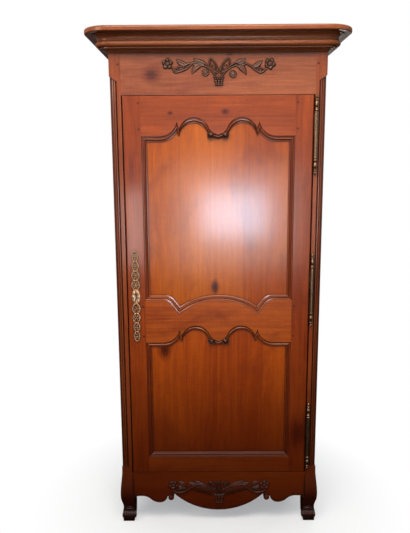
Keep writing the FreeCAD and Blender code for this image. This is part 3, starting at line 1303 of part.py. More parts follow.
def through_plate(radius, level):
    """A round hole through the escutcheon."""
    thick = size.escutcheon_thickness
    return Part.makeCylinder(radius, 4 * thick, point(at.key_x, at.front - 2 * thick, level), point(*Y))


def escutcheon():
    """A long pierced plate: a cartouche round the keyhole, and links that taper above and below it."""
    middle, thick, strip = size.keyhole_height, size.escutcheon_thickness, size.escutcheon_strip
    wide, tall = size.escutcheon_width / 2, size.escutcheon_cartouche / 2
    link, overlap = size.escutcheon_link, size.escutcheon_overlap
    front = at.front - thick
    flat = ellipse_face(point(at.key_x, front, middle), wide, tall)
    for way in (-1, 1):
        for n in range(4):
            share = 0.93 - 0.08 * n
            centre = point(at.key_x, front, middle + way * (tall - overlap + n * (link - overlap) + link / 2))
            hole = ellipse_face(centre, wide * share - strip, link / 2 - strip)
            flat = flat.fuse(ellipse_face(centre, wide * share, link / 2).cut(hole))
    plate = flat.removeSplitter().extrude(point(0, thick, 0))
    half = size.key_bit_thickness / 2 + size.keyhole_play
    drop = size.key_radius + size.key_bit + size.keyhole_play
    slot = Part.makeBox(2 * half, 4 * thick, drop, point(at.key_x - half, front - thick, middle - drop))
    holes = [through_plate(size.nail_shank, level) for level in nail_levels()]
    holes += [through_plate(size.key_radius + size.keyhole_play, middle), slot]
    piece("escutcheon", shape("escutcheon", plate.cut(holes)))


def nail_levels():
    """Heights of the escutcheon's nails, where its links meet."""
    step = size.escutcheon_link - size.escutcheon_overlap
    first = size.escutcheon_cartouche / 2 - size.escutcheon_overlap / 2
    return [size.keyhole_height + way * (first + n * step) for way in (-1, 1) for n in (0, 2)]


def escutcheon_nails():
    nails = []
    front, head = at.front - size.escutcheon_thickness, size.nail_head_height
    for level in nail_levels():
        cap = Part.makeCylinder(size.nail_head, head, point(at.key_x, front - head, level), point(*Y))
        shank = Part.makeCylinder(size.nail_shank, size.nail_length, point(at.key_x, front, level), point(*Y))
        nails.append(shape("escutcheon_nail", cap.fuse(shank)))
    piece("escutcheon_nails", group("escutcheon_nails", nails))


def nail_pilots():
    """The nails' holes in the lock stile."""
    length = size.nail_length - size.escutcheon_thickness
    made = []
    for level in nail_levels():
        pilot = Part.makeCylinder(size.nail_shank, length, point(at.key_x, at.front, level), point(*Y))
        made.append(shape("nail_pilot", pilot))
    return made


# ---------------------------------------------------------------- the whole cabinet

def build():
    front_stiles()
    back_stiles()
    base_rail()
    frieze_rail()
    side_frame()
    back_frame()
    shelves()
    ceiling()
    case_pegs()
    cornice()
    cornice_boards()
    cutters = [shape(f"panel_cutter_{which}", panel_cutter(which)) for which in PANELS]
    door_stiles(cutters)
    door_rails(cutters)
    door_panels()
    door_pegs()
    hinges()
    keeper()
    lock()
    key()
    escutcheon()
    escutcheon_nails()


def write():
    doc.recompute()
    for thing in doc.Objects:
        if "Invalid" in thing.State or "Error" in thing.State:
            raise RuntimeError(f"{thing.Name} failed: {thing.State}")
    os.makedirs("parts", exist_ok=True)
    for thing in pieces:
        if thing.Shape.isNull() or not thing.Shape.isValid():
            raise RuntimeError(f"{thing.Label} has no valid shape")
    for thing in pieces:
        thing.Shape.exportStep(f"parts/{thing.Label}.step")
    print(len(pieces), "sub-parts")


build()
write()
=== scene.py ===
"""The looks of a carved cherry bonnetiere cabinet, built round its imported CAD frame. Metres, row frame."""

import json
import math

import bmesh
import bpy
from mathutils import Matrix, Vector


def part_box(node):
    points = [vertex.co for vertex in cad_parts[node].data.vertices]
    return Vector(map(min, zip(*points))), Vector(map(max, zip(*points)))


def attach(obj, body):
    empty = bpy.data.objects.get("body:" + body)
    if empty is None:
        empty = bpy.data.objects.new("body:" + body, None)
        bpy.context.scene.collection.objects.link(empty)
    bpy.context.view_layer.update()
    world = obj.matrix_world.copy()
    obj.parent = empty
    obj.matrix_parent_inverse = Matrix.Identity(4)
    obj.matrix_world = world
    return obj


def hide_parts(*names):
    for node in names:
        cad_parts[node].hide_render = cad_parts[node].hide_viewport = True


MM = 0.001
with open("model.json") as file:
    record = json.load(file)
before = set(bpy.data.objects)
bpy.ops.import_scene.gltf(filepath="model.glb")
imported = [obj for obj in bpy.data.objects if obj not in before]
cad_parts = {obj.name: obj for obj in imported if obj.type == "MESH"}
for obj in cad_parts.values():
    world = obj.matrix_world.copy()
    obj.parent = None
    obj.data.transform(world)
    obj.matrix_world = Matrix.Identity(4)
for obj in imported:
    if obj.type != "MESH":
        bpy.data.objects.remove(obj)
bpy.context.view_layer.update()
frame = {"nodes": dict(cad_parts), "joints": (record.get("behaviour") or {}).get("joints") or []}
nodes = frame["nodes"]

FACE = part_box("door_lock_stile")[0][1]  # front face of the case and of the door
# Where the key turns, which is the middle of the lock's brass plate.
KEY_X, _, KEY_Z = next(joint for joint in frame["joints"] if joint["name"] == "key_turn")["pos_m"]


# ---------------------------------------------------------------- colours and nodes

def linear(text):
    """A hex colour as linear RGBA."""
    channels = [int(text[i:i + 2], 16) / 255 for i in (1, 3, 5)]
    return [c / 12.92 if c <= 0.04045 else ((c + 0.055) / 1.055) ** 2.4 for c in channels] + [1.0]


def add(tree, kind, *values, out=None, stops=(), **words):
    """Adds a shader node and gives the output named, or its first one.

    "Math ADD" is a Math node set to ADD. Values fill the sockets in order. A capital word names a socket,
    with _ for each space, and a small word names a setting. A value may be the output of another node. Stops
    of (place, grey) set a colour ramp.
    """
    kind, _, operation = kind.partition(" ")
    made = tree.nodes.new("ShaderNode" + kind)
    if operation:
        made.operation = operation
    for name in filter(str.islower, words):
        setattr(made, name, words[name])
    filled = list(zip([socket for socket in made.inputs if socket.enabled], values))
    filled += [(made.inputs[name.replace("_", " ")], words[name]) for name in words if not name.islower()]
    for socket, value in filled:
        if isinstance(value, bpy.types.NodeSocket):
            tree.links.new(value, socket)
        else:
            socket.default_value = value
    if stops:
        elements = made.color_ramp.elements
        while len(elements) < len(stops):
            elements.new(0.5)
        for element, (place, grey) in zip(elements, stops):
            element.position = place
            element.color = (grey, grey, grey, 1.0)
    return made.outputs[out] if out else next((socket for socket in made.outputs if socket.enabled), None)


def new_material(name):
    """An empty material and its node tree."""
    made = bpy.data.materials.new(name)
    made.use_nodes = True
    made.node_tree.nodes.clear()
    return made, made.node_tree


# ---------------------------------------------------------------- waxed wood

GRAIN_TURN = {"z": (0, 0, 0), "x": (0, math.pi / 2, 0), "y": (math.pi / 2, 0, 0)}
SEAM = 1.2 * MM  # a glued seam is a hairline, too fine to show, so it is drawn this wide
KNOT_HALO = "#4E1407"  # stained wood round a knot
CLOUD = "#5A1C10"  # where the wood took up more stain
LOW_SHADE = "#3A0D01"  # painted shade: the lower part darker, as the light from above falls off
FOOT_DARKENING = "#0E0402"  # near black on the feet, darker towards the floor
HOLLOW_WAX_AND_SHADE = "#160501"  # painted shade in recesses and on the slopes of mouldings, with old wax in the recesses
# Radians of the figure's phase: over a metre, at a year ring each 42 mm, and over the patterns that bend it.
RINGS, DRIFT_BEND, WANDER_BEND = 150.0, 58.0, 14.0
# How far each pattern takes the wood from its light shade to its dark one.
DRIFT_SHARE, FIGURE_SHARE, RIPPLE_SHARE, BOARD_SHARE = 0.6, 0.18, 0.22, 0.45
# How deep fibres, pores, seams and clouds are stained.
FIBRE_STAIN, PORE_STAIN, SEAM_STAIN, CLOUD_STAIN = 0.24, 0.3, 0.55, 0.5
# How much fibres, pores and the wander lift the surface.
FIBRE_RISE, PORE_RISE, WANDER_RISE = 0.6, 0.5, 3.0


def strands(tree, grain, across, along, **words):
    """Soft noise drawn out along the grain. Across and along are repeats per metre: 1000 over millimetres."""
    drawn = add(tree, "Mapping", grain, Scale=(across, across, along))
    return add(tree, "TexNoise", drawn, Scale=1.0, **words)


def board_shades(tree, place, seams):
    """A shade that changes from one upright board to the next, and a thin line at each seam."""
    x = add(tree, "SeparateXYZ", place, out="X")
    shade, line = 0.5, 0.0
    for number, seam in enumerate(seams):
        beyond = add(tree, "Math GREATER_THAN", x, seam)
        step = 0.3 * (-1) ** number if number else 0.12
        shade = add(tree, "Math MULTIPLY_ADD", beyond, step, shade)
        near = add(tree, "Math ABSOLUTE", add(tree, "Math SUBTRACT", x, seam))
        line = add(tree, "Math MAXIMUM", add(tree, "Math LESS_THAN", near, SEAM / 2), line)
    return shade, line


def knot_shares(tree, place, along, unrest, x, z, radius):
    """The halo and the heart of a knot on the front face, drawn out a little along the grain."""
    squeeze = (0.75, 0, 1) if along == "x" else (1, 0, 0.6)
    offset = add(tree, "VectorMath SUBTRACT", place, (x, FACE, z))
    far = add(tree, "VectorMath LENGTH", add(tree, "VectorMath MULTIPLY", offset, squeeze))
    ragged = add(tree, "Math ADD", far, add(tree, "Math MULTIPLY", unrest, radius * 1.5))
    share = add(tree, "Math DIVIDE", ragged, radius * 2)
    halo = add(tree, "ValToRGB", share, stops=[(0.0, 0.85), (0.4, 0.72), (0.7, 0.38), (1.0, 0.0)])
    rings = [(0.0, 0.85), (0.2, 0.7), (0.28, 0.3), (0.36, 0.6), (0.55, 0.0)]
    return halo, add(tree, "ValToRGB", share, stops=rings)


def hollows(tree, reach, rounds):
    """Painted shade and old wax, 0 to 1: shade painted in recesses up to the reach, where old wax also
    gathers, and on sheltered slopes of mouldings.

    Rounds is how far painted shade darkens slopes that lie open too.
    """
    close = add(tree, "AmbientOcclusion", samples=5, Distance=reach * 0.5, out="AO")
    broad = add(tree, "AmbientOcclusion", samples=5, Distance=reach * 1.6, out="AO")
    recess = add(tree, "Math MAXIMUM", add(tree, "ValToRGB", close, stops=[(0.64, 1.0), (0.92, 0.0)]),
                 add(tree, "ValToRGB", broad, stops=[(0.45, 0.85), (0.95, 0.0)]))
    turned = add(tree, "VectorMath ABSOLUTE", add(tree, "TexCoord", out="Normal"))
    facing = add(tree, "SeparateXYZ", turned).node.outputs
    square = add(tree, "Math MAXIMUM", add(tree, "Math MAXIMUM", facing["X"], facing["Y"]), facing["Z"])
    slope = add(tree, "ValToRGB", square, stops=[(0.88, 1.0), (0.985, 0.0)])
    sheltered = add(tree, "ValToRGB", broad, stops=[(0.82, 1.0), (0.98, rounds)])
    moulded = add(tree, "Math MULTIPLY", add(tree, "Math MULTIPLY", slope, sheltered), 0.9)
    return add(tree, "Math MAXIMUM", recess, moulded)


def wood(name, light, dark, deep, along, seed, seams=(), knots=(), gloss=0.3, coat=0.55, wax_and_shade=0.92,
         tone=0.5, reach=9 * MM, stain_and_low_shade=1.0, wide=7.0, streaky=0.3, foot=False, rounds=0.0):
    """Wood with its grain along an axis, under a coat of wax, with painted shade and old wax in the recesses.

    Seams are x, and knots x, z and radius. Gloss is the roughness under the wax, patina how dark the painted
    shade and old wax in the hollows go, and aged how strong the stain clouds and the painted shade on the
    lower part are. Wide is the drift's repeats per metre. Real fibres and pores of cherry are 0.05 mm wide,
    too fine to show, so they are drawn 1.1 mm and 0.6 mm wide.
    """
    made, tree = new_material(name)
    place = add(tree, "TexCoord", out="Object")
    grain = add(tree, "Mapping", place, Rotation=GRAIN_TURN[along], Location=(seed, seed * 0.37, seed * 1.7))
    drift = strands(tree, grain, wide, wide * 0.16, Detail=3.0, Roughness=0.55)  # 143 mm, on panels 278 mm
    wander = strands(tree, grain, 30.0, 1.6, Detail=4.0, Roughness=0.6, Distortion=0.4)  # 33 by 625 mm
    streaks = strands(tree, grain, 140.0, 2.4, Detail=3.0)  # 7 by 417 mm
    ripple = strands(tree, grain, 22.0, 150.0, Detail=1.0)  # curl across the grain, 45 by 7 mm
    fibres = strands(tree, grain, 900.0, 16.0, Detail=2.0)  # 1.1 by 63 mm
    pores = strands(tree, grain, 1700.0, 70.0, Detail=1.0)  # 0.6 by 14 mm
    clouds = strands(tree, grain, 9.0, 4.0, Detail=4.0, Roughness=0.62, Distortion=0.8)  # 111 by 250 mm

    # Cathedral figure: level year rings, bent by the drift and the wander.
    split = add(tree, "SeparateXYZ", grain).node.outputs
    across = add(tree, "Math ADD", split["X"], add(tree, "Math MULTIPLY", split["Y"], 0.6))
    phase = add(tree, "Math MULTIPLY", across, RINGS)
    for pattern, bend in ((drift, DRIFT_BEND), (wander, WANDER_BEND)):
        phase = add(tree, "Math MULTIPLY_ADD", pattern, bend, phase)
    figure = add(tree, "Math MULTIPLY_ADD", add(tree, "Math SINE", phase), 0.5, 0.5)

    # Patterns take the wood from light to dark, each by its share. Layers then cover it in turn.
    bands = add(tree, "ValToRGB", drift, stops=[(0.34, 0.0), (0.66, 1.0)])
    lines = add(tree, "ValToRGB", streaks, stops=[(0.35, 0.0), (0.7, 1.0)])
    patterns = [(bands, DRIFT_SHARE), (figure, FIGURE_SHARE), (lines, streaky), (ripple, RIPPLE_SHARE)]
    layers = [(add(tree, "ValToRGB", fibres, stops=[(0.42, 1.0), (0.62, 0.0)]), FIBRE_STAIN, deep),
              (add(tree, "ValToRGB", pores, stops=[(0.3, 1.0), (0.4, 0.0)]), PORE_STAIN, deep)]
    unrest = add(tree, "Math SUBTRACT", add(tree, "Math ADD", streaks, wander), 1.0)
    for x, z, radius in knots:
        halo, heart = knot_shares(tree, place, along, unrest, x, z, radius)
        layers += [(halo, 1.0, KNOT_HALO), (heart, 1.0, deep)]
    if seams:
        shade, line = board_shades(tree, place, seams)
        patterns.append((shade, BOARD_SHARE))
        layers.append((line, SEAM_STAIN, deep))
    stained = add(tree, "ValToRGB", clouds, stops=[(0.52, 0.0), (0.74, 1.0)])
    layers.append((stained, CLOUD_STAIN * min(stain_and_low_shade, 1), CLOUD))
    height = add(tree, "SeparateXYZ", place, out="Z")
    # Painted shade: the lower part darker, as the light from above falls off.
    low_shade_stops = [(0.0, 0.96), (0.13, 0.88), (0.3, 0.74), (0.5, 0.5), (0.74, 0.12), (0.9, 0.0)]
    layers.append((add(tree, "ValToRGB", height, stops=low_shade_stops), stain_and_low_shade, LOW_SHADE))
    if foot:
        # Near black from the curve of the foot down, towards the floor.
        worn = [(0.0, 0.95), (0.066, 0.92), (0.1, 0.5), (0.2, 0.16), (0.26, 0.0)]
        layers.append((add(tree, "ValToRGB", height, stops=worn), 1.0, FOOT_DARKENING))
    # Painted shade in the recesses and on the slopes of mouldings, with old wax in the recesses.
    hollow = hollows(tree, reach, rounds)
    layers.append((hollow, wax_and_shade, HOLLOW_WAX_AND_SHADE))

    amount = tone - 0.61
    for pattern, share in patterns:
        amount = add(tree, "Math MULTIPLY_ADD", pattern, share, amount)
    base = add(tree, "Mix", amount, linear(light), linear(dark), data_type="RGBA")
    for mask, share, colour in layers:
        factor = add(tree, "Math MULTIPLY", mask, share)
        base = add(tree, "Mix", factor, base, linear(colour), data_type="RGBA")

    # Wax shines on the open wood and is dull in the hollows.
    rough = add(tree, "Math MULTIPLY_ADD", streaks, 0.12, gloss - 0.05)
    rough = add(tree, "Math MULTIPLY_ADD", hollow, 0.25, rough)
    open_wood = add(tree, "Math SUBTRACT", 1.0, add(tree, "Math MULTIPLY", hollow, 0.85))
    wax = add(tree, "Math MULTIPLY", open_wood, coat) if coat else 0.0
    relief = 0.0
    for pattern, share in ((fibres, FIBRE_RISE), (pores, PORE_RISE), (wander, WANDER_RISE)):
        relief = add(tree, "Math MULTIPLY_ADD", pattern, share, relief)
    softened = add(tree, "Bevel", samples=4, Radius=1.2 * MM)
    normal = add(tree, "Bump", Strength=0.25, Distance=0.06 * MM, Height=relief, Normal=softened)
    surface = add(tree, "BsdfPrincipled", Base_Color=base, Roughness=rough, Normal=normal,
                  Specular_IOR_Level=0.14, Coat_Weight=wax, Coat_Roughness=0.155, Coat_IOR=1.65)
    add(tree, "OutputMaterial", Surface=surface)
    return made


# ---------------------------------------------------------------- old metal

METAL_DIRT = "#1B140D"  # grease and dust


def metal(name, light, dark, rough, mottling, worn=0.5):
    """Old metal: two shades that follow a mottling, and dirt in the hollows.

    Mottling is in repeats per metre, so 260 is spots of 4 mm. Pits are seven times finer, 0.5 mm.
    """
    made, tree = new_material(name)
    place = add(tree, "TexCoord", out="Object")
    spots = add(tree, "TexNoise", place, Scale=mottling, Detail=5.0, Roughness=0.65)
    pits = add(tree, "TexNoise", place, Scale=mottling * 7, Detail=2.0)
    share = add(tree, "ValToRGB", spots, stops=[(worn - 0.12, 0.0), (worn + 0.15, 1.0)])
    base = add(tree, "Mix", share, linear(light), linear(dark), data_type="RGBA")
    recess = add(tree, "AmbientOcclusion", samples=6, Distance=3 * MM, out="AO")
    dirt = add(tree, "ValToRGB", recess, stops=[(0.35, 0.85), (0.85, 0.0)])
    base = add(tree, "Mix", dirt, base, linear(METAL_DIRT), data_type="RGBA")
    relief = add(tree, "Math MULTIPLY_ADD", pits, 0.3, spots)
    softened = add(tree, "Bevel", samples=4, Radius=0.5 * MM)
    normal = add(tree, "Bump", Strength=0.35, Distance=0.15 * MM, Height=relief, Normal=softened)
    uneven = add(tree, "Math MULTIPLY_ADD", spots, 0.25, rough - 0.12)
    surface = add(tree, "BsdfPrincipled", Base_Color=base, Metallic=1.0, Roughness=uneven, Normal=normal)
    add(tree, "OutputMaterial", Surface=surface)
    return made


# ---------------------------------------------------------------- finishes of this cabinet

# Solid cherry, planed, stained red-brown and waxed by hand: a warm ground with a soft even shine, dark lines
# of painted shade and old wax in the mouldings, and a lower half painted nearly black-brown in shade.
LIGHT, MIDDLE, DEEP = "#9E4511", "#6C2507", "#2A0D02"
FRAME_ROUNDS = 0.85  # how far painted shade darkens the open slopes of the frame's mouldings too
# Planed wood that was never stained or waxed, pale and dull.
BARE = "#A98358", "#8A6640", "#54391F"
DRY = {"gloss": 0.6, "coat": 0.0, "wax_and_shade": 0.4, "stain_and_low_shade": 0.0}

WOODS = {
    # The usual upright member, polished by hands.
    "upright": wood("Waxed cherry, upright grain, pores 1 mm", LIGHT, MIDDLE, DEEP, "z", 0.4,
                    rounds=FRAME_ROUNDS),
    # The sides get less wax than the front, so they shine less.
    "side_panel": wood("Thinly waxed cherry, upright grain, pores 1 mm", LIGHT, MIDDLE, DEEP, "z", 0.4,
                       gloss=0.46, coat=0.12, rounds=FRAME_ROUNDS),
    # The hinge stile, from another board: it shows one large dark knot low down.
    "upright_right": wood("Waxed cherry, upright grain, knot 20 mm", LIGHT, MIDDLE, DEEP, "z", 2.9,
                          knots=[(0.34, 0.412, 0.03)], rounds=FRAME_ROUNDS),
    # The front stiles: browner at the top, and near black from the curve of the foot down towards the floor.
    "front_stile": wood("Waxed cherry, upright grain, feet dark with old wax", "#954A22", "#682A10", DEEP,
                        "z", 0.4, foot=True, rounds=FRAME_ROUNDS),
    # The level rails of the door, cut from a lighter board: an orange glow.
    "level": wood("Waxed cherry, level grain, pores 1 mm", "#B4581C", "#80340E", DEEP, "x", 1.3,
                  rounds=FRAME_ROUNDS),
    # The frieze: a pinkish bloom painted into its colour for the light it catches from above, two knots, and
    # a wide painted shade round its carving.
    "frieze": wood("Waxed cherry frieze, level grain, knots 25 mm", "#A05A36", "#743820", DEEP, "x", 5.1,
                   knots=[(-0.256, 1.886, 0.018), (0.045, 1.968, 0.009)], coat=0.65, wax_and_shade=0.98,
                   reach=22 * MM),
    # The door's top rail: redder than the frieze, with two small knots.
    "top_rail": wood("Waxed cherry door rail, level grain, knots 15 mm", "#A04818", "#722C0C", DEEP, "x",
                     3.6, knots=[(0.027, 1.747, 0.009), (-0.186, 1.744, 0.006)], rounds=FRAME_ROUNDS),
    # The rails of the sides, with their grain from front to back.
    "depth": wood("Waxed cherry, grain front to back, pores 1 mm", LIGHT, MIDDLE, DEEP, "y", 2.2),
    # The upper panel, four broad boards, honey-orange and the best polished piece of the front.
    "panel_upper": wood("Waxed cherry panel in four boards 150 mm", "#C0640A", "#923C06", DEEP, "z", 6.3,
                        seams=(-0.155, -0.03, 0.105), tone=0.4, gloss=0.26, coat=0.5, wide=3.6, streaky=0.16,
                        knots=[(-0.014, 1.053, 0.011)]),
    # The lower panel, five boards, the same wood, darker with more painted shade low down.
    "panel_lower": wood("Waxed cherry panel in five boards 110 mm", "#BE5A12", "#8A3408", DEEP, "z", 7.7,
                        seams=(-0.135, -0.008, 0.08, 0.182), tone=0.45, gloss=0.3, coat=0.5, wide=3.6,
                        streaky=0.16, stain_and_low_shade=1.15, knots=[(-0.223, 0.784, 0.018)]),
    # The crown, above reach, is seldom waxed: browner, with a faint shine on its rounds.
    "crown": wood("Waxed cherry crown, level grain, pores 1 mm", "#985630", "#6A361C", DEEP, "x", 8.8,
                  coat=0.22, wax_and_shade=0.78),
    # Its returns, duller still.
    "crown_side": wood("Waxed cherry crown return, grain front to back", "#985630", "#6A361C", DEEP, "y",
                       9.1, gloss=0.5, coat=0.04, wax_and_shade=0.78),
    # Carved relief: brown tops worn by the cloth, black old wax and painted shade in every cut.
    "carving": wood("Carved cherry with dark old wax, pores 1 mm", "#74401F", "#48260F", "#120703", "x", 4.4,
                    gloss=0.34, coat=0.3, wax_and_shade=1.0, reach=14 * MM, stain_and_low_shade=0.6, rounds=1.0),
    # The same carving low down, its colours darkened to paint the shade there.
    "apron_carving": wood("Carved cherry, low down and dark with wax", "#703416", "#461C0B", "#0C0401", "x",
                          5.9, gloss=0.34, coat=0.34, wax_and_shade=1.0, reach=14 * MM, stain_and_low_shade=0.4, rounds=1.0),
    # Scrolls at the ends of the mouldings: dark spirals, with painted shade and dark wax in the grooves, and
    # a small bright edge.
    "scroll": wood("Carved cherry scroll, dark wax in the grooves", "#6C3416", "#43200C", "#120803", "x",
                   4.9, gloss=0.28, coat=0.4, wax_and_shade=0.97, reach=4 * MM, stain_and_low_shade=0.7),
    # The apron, a board with little figure, dark with the painted shade low down and round its carving.
    "base": wood("Waxed dark cherry apron, level grain", "#AA4E14", "#74300A", DEEP, "x", 11.0,
                 reach=22 * MM, wax_and_shade=0.98, rounds=FRAME_ROUNDS),
    # Shelves, floor, back and ceiling: dry pale boards without shine.
    "inside_upright": wood("Planed bare wood, upright grain", *BARE, "z", 12.0, **DRY),
    "inside_level": wood("Planed bare wood, level grain", *BARE, "x", 13.0, **DRY),
    # The carved feet: nearly black, with a worn shine on the reeds.
    "foot": wood("Carved foot, black with old wax, pores 1 mm", "#54302A", "#2C1610", "#0C0503", "x", 6.6,
                 gloss=0.34, coat=0.3, wax_and_shade=0.98, reach=4 * MM, stain_and_low_shade=0.35),
    # Oak pegs show their end grain, which drinks stain: small dark dots.
    "peg": wood("Oak peg end grain, pores 0.6 mm", "#5C2A10", "#3E1808", "#1C0903", "y", 14.0),
}
METALS = {
    # Cast and turned hinges, brown from handling: a dull gleam, with dark joints.
    "bronze": metal("Aged brown bronze, mottling 4 mm", "#957A5E", "#463224", 0.36, 260),
    # Sheet brass, pierced and chased, rubbed pale by cleaning.
    "brass": metal("Aged pierced brass, mottling 3 mm", "#CBA680", "#85654A", 0.44, 330, worn=0.54),
    # The lock and its keeper: forged, dark and rough.
    "iron": metal("Dark forged iron, mottling 5 mm", "#5E5850", "#2A2623", 0.45, 200),
    # A key that is used every day: greyish and bright.
    "steel": metal("Worn steel key, mottling 3 mm", "#B5AFA3", "#6E675C", 0.32, 330, worn=0.6),
}
FINISHES = {
    "frieze_rail": "frieze", "base_rail": "base", "door_top_rail": "top_rail", "door_middle_rail": "level",
    "door_bottom_rail": "level", "door_upper_panel": "panel_upper", "door_lower_panel": "panel_lower",
    "cornice_front": "crown", "cornice_left": "crown_side", "cornice_right": "crown_side",
    "door_hinge_stile": "upright_right", "door_lock_stile": "upright", "back_stile_left": "upright",
    "back_stile_right": "upright", "back_boards": "inside_upright", "shelf_cleats": "inside_level",
    "case_pegs": "peg", "door_pegs": "peg",
}


def finish_of(node):
    """The finish of a CAD node."""
    if node in FINISHES:
        return WOODS[FINISHES[node]]
    if node == "key":
        return METALS["steel"]
    if node.startswith("hinge_"):
        return METALS["bronze"]
    if node.startswith("escutcheon"):
        return METALS["brass"]
    if node.startswith(("lock_", "keeper_")):
        return METALS["iron"]
    if node.startswith("front_stile"):
        return WOODS["front_stile"]
    if node.startswith("side_"):
        return WOODS["side_panel" if "panel" in node else "depth"]
    return WOODS["inside_level"]


for name, thing in nodes.items():
    thing.data.materials.clear()
    thing.data.materials.append(finish_of(name))


# ---------------------------------------------------------------- carved relief, in (x, z) millimetres

ROOT = -0.4  # carved edges start this far inside their ground, in millimetres


def sheet(bm, rows, closed=False):
    """A grid whose points move to rows of places. A closed one joins its last column to its first."""
    rows = [row + row[:1] for row in rows] if closed else rows
    tall, wide = len(rows) - 1, len(rows[0]) - 1
    made = bmesh.ops.create_grid(bm, x_segments=wide, y_segments=tall, size=1.0)["verts"]
    for vert in made:
        vert.co = rows[round((vert.co.y + 1) / 2 * tall)][round((vert.co.x + 1) / 2 * wide)]
    bmesh.ops.remove_doubles(bm, verts=made, dist=1e-7)


class Relief:
    """A mesh of carved forms that stand out towards -Y from a ground plane."""

    def __init__(self, ground):
        self.bm = bmesh.new()
        self.ground = ground

    def spot(self, x, z, height):
        """A place in metres, from millimetres across, up and out from the ground."""
        return Vector((x * MM, self.ground - height * MM, z * MM))

    def leaf(self, base, tip, width, height=3.2, bend=0.0, lobes=0, steps=18):
        """A leaf with a sunk midrib, raised halves and side veins. Lobes scallop its edge."""
        bx, bz = base
        run = Vector((tip[0] - bx, tip[1] - bz))
        length = run.length
        ahead = run / length
        side = Vector((-ahead.y, ahead.x))
        across = [-1, -0.86, -0.62, -0.36, -0.12, 0, 0.12, 0.36, 0.62, 0.86, 1]
        rows = []
        for i in range(steps + 1):
            u = i / steps
            swell = math.sin(math.pi * (0.06 + 0.94 * u) ** 0.85) ** 0.8 if u < 1 else 0.0
            if lobes:
                swell *= 0.86 + 0.14 * abs(math.sin(math.pi * lobes * u))
            half = max(width / 2 * swell, 0.25)
            centre = Vector((bx, bz)) + ahead * (length * u) + side * (bend * math.sin(math.pi * u))
            row = []
            for v in across:
                dome = (1 - abs(v) ** 2.4) * (0.55 + 0.45 * math.sin(math.pi * min(1, u + 0.15)))
                rib = 0.42 * math.exp(-((v / 0.16) ** 2))
                vein = 0.10 * math.cos(2 * math.pi * (u * 5 - abs(v) * 1.1)) * (1 - v * v)
                rise = height * max(dome * (0.85 + vein) - rib * dome, -0.1) + 0.25
                if abs(v) == 1:
                    rise = ROOT
                place = centre + side * (half * v)
                row.append(self.spot(place.x, place.y, rise))
            rows.append(row)
        sheet(self.bm, rows)

    def half_round(self, here, side, width, tall, around):
        """A row of places over a half-round strand, with both edges inside the ground."""
        row = []
        for n in range(around + 1):
            turn = math.pi * n / around
            place = here + side * (width / 2 * math.cos(turn))
            edge = ROOT if n in (0, around) else 0
            row.append(self.spot(place.x, place.y, tall * math.sin(turn) + edge))
        return row

    def stem(self, points, width, height=2.4, end_width=None):
        """A half-round stem along a smooth path."""
        path = smooth(points, 8)
        end_width = width if end_width is None else end_width
        rows = []
        for i, here in enumerate(path):
            before, after = path[max(i - 1, 0)], path[min(i + 1, len(path) - 1)]
            ahead = (after - before).normalized()
            side = Vector((-ahead.y, ahead.x))
            share = i / (len(path) - 1)
            tall = height * (0.6 + 0.4 * math.sin(math.pi * min(max(share, 0.12), 0.88)))
            rows.append(self.half_round(here, side, width + (end_width - width) * share, tall, 8))
        sheet(self.bm, rows)

    def disc(self, centre, radius, profile, petals=0, depth=0.0, cut=0.0, turn=0.0, around=48):
        """A round form. Profile is (share of the radius, height). Petals groove it and scallop its edge."""
        rows = []
        for share, rise in profile:
            row = []
            for n in range(around):
                angle = 2 * math.pi * n / around
                wave = abs(math.cos(petals * (angle - turn) / 2)) if petals else 1.0
                reach = radius * share * (1 - cut * (1 - wave) * share)
                tall = rise - depth * (1 - wave) ** 2 * min(1.0, share * 1.6) if rise > 0 else rise
                x, z = centre[0] + reach * math.cos(angle), centre[1] + reach * math.sin(angle)
                row.append(self.spot(x, z, tall))
            rows.append(row)
        rows.append([self.spot(centre[0], centre[1], profile[-1][1])] * around)
        sheet(self.bm, rows, closed=True)

    def flower(self, centre, radius, height=4.0, petals=5, turn=0.0):
        """Open petals round a bud."""
        outer = [(1.0, ROOT), (0.97, height * 0.45), (0.8, height * 0.85), (0.62, height * 0.9),
                 (0.46, height * 0.5), (0.38, height * 0.38)]
        self.disc(centre, radius, outer, petals, height * 0.55, 0.28, turn)
        bud = [(1.0, 0.2), (0.97, height * 0.7), (0.72, height * 1.05), (0.55, height * 0.85),
               (0.4, height * 0.95), (0.15, height * 1.1)]
        self.disc(centre, radius * 0.42, bud, 5, height * 0.25, 0.15, turn + 0.6, 30)

    def button(self, centre, radius, height=3.4):
        """A round berry with a scored face."""
        face = [(1.0, ROOT), (0.96, height * 0.55), (0.82, height * 0.9), (0.64, height),
                (0.58, height * 0.62), (0.48, height * 0.95), (0.2, height * 1.05)]
        self.disc(centre, radius, face, 10, height * 0.4, 0.1, 0.2)

    def loop(self, base, tip, width, thick, height=2.8):
        """An open leaf: a closed rim round a low hollow with a seed in it."""
        run = Vector((tip[0] - base[0], tip[1] - base[1]))
        side = Vector((-run.y, run.x)).normalized() * width / 2
        middle = Vector(base) + run * 0.5
        ring = []
        for n in range(24):
            angle = 2 * math.pi * n / 24
            pinch = 1 - 0.35 * (0.5 + 0.5 * math.cos(angle))
            ring.append(middle + run * (0.5 * math.cos(angle)) + side * (math.sin(angle) * pinch))
        rows = []
        for n in range(24):
            ahead = (ring[(n + 1) % 24] - ring[n - 1]).normalized()
            rows.append(self.half_round(ring[n], Vector((-ahead.y, ahead.x)), thick, height, 6))
        sheet(self.bm, rows + rows[:1])
        seed = [(1, -0.3), (0.8, 1.2), (0.3, 1.9)]
        self.disc((middle.x, middle.y), min(width, run.length) * 0.2, seed, around=14)

    def bead(self, centre, radius, height):
        """A small round boss."""
        dome = [(1.0, ROOT), (0.97, height * 0.4), (0.8, height * 0.8), (0.4, height)]
        self.disc(centre, radius, dome, around=18)

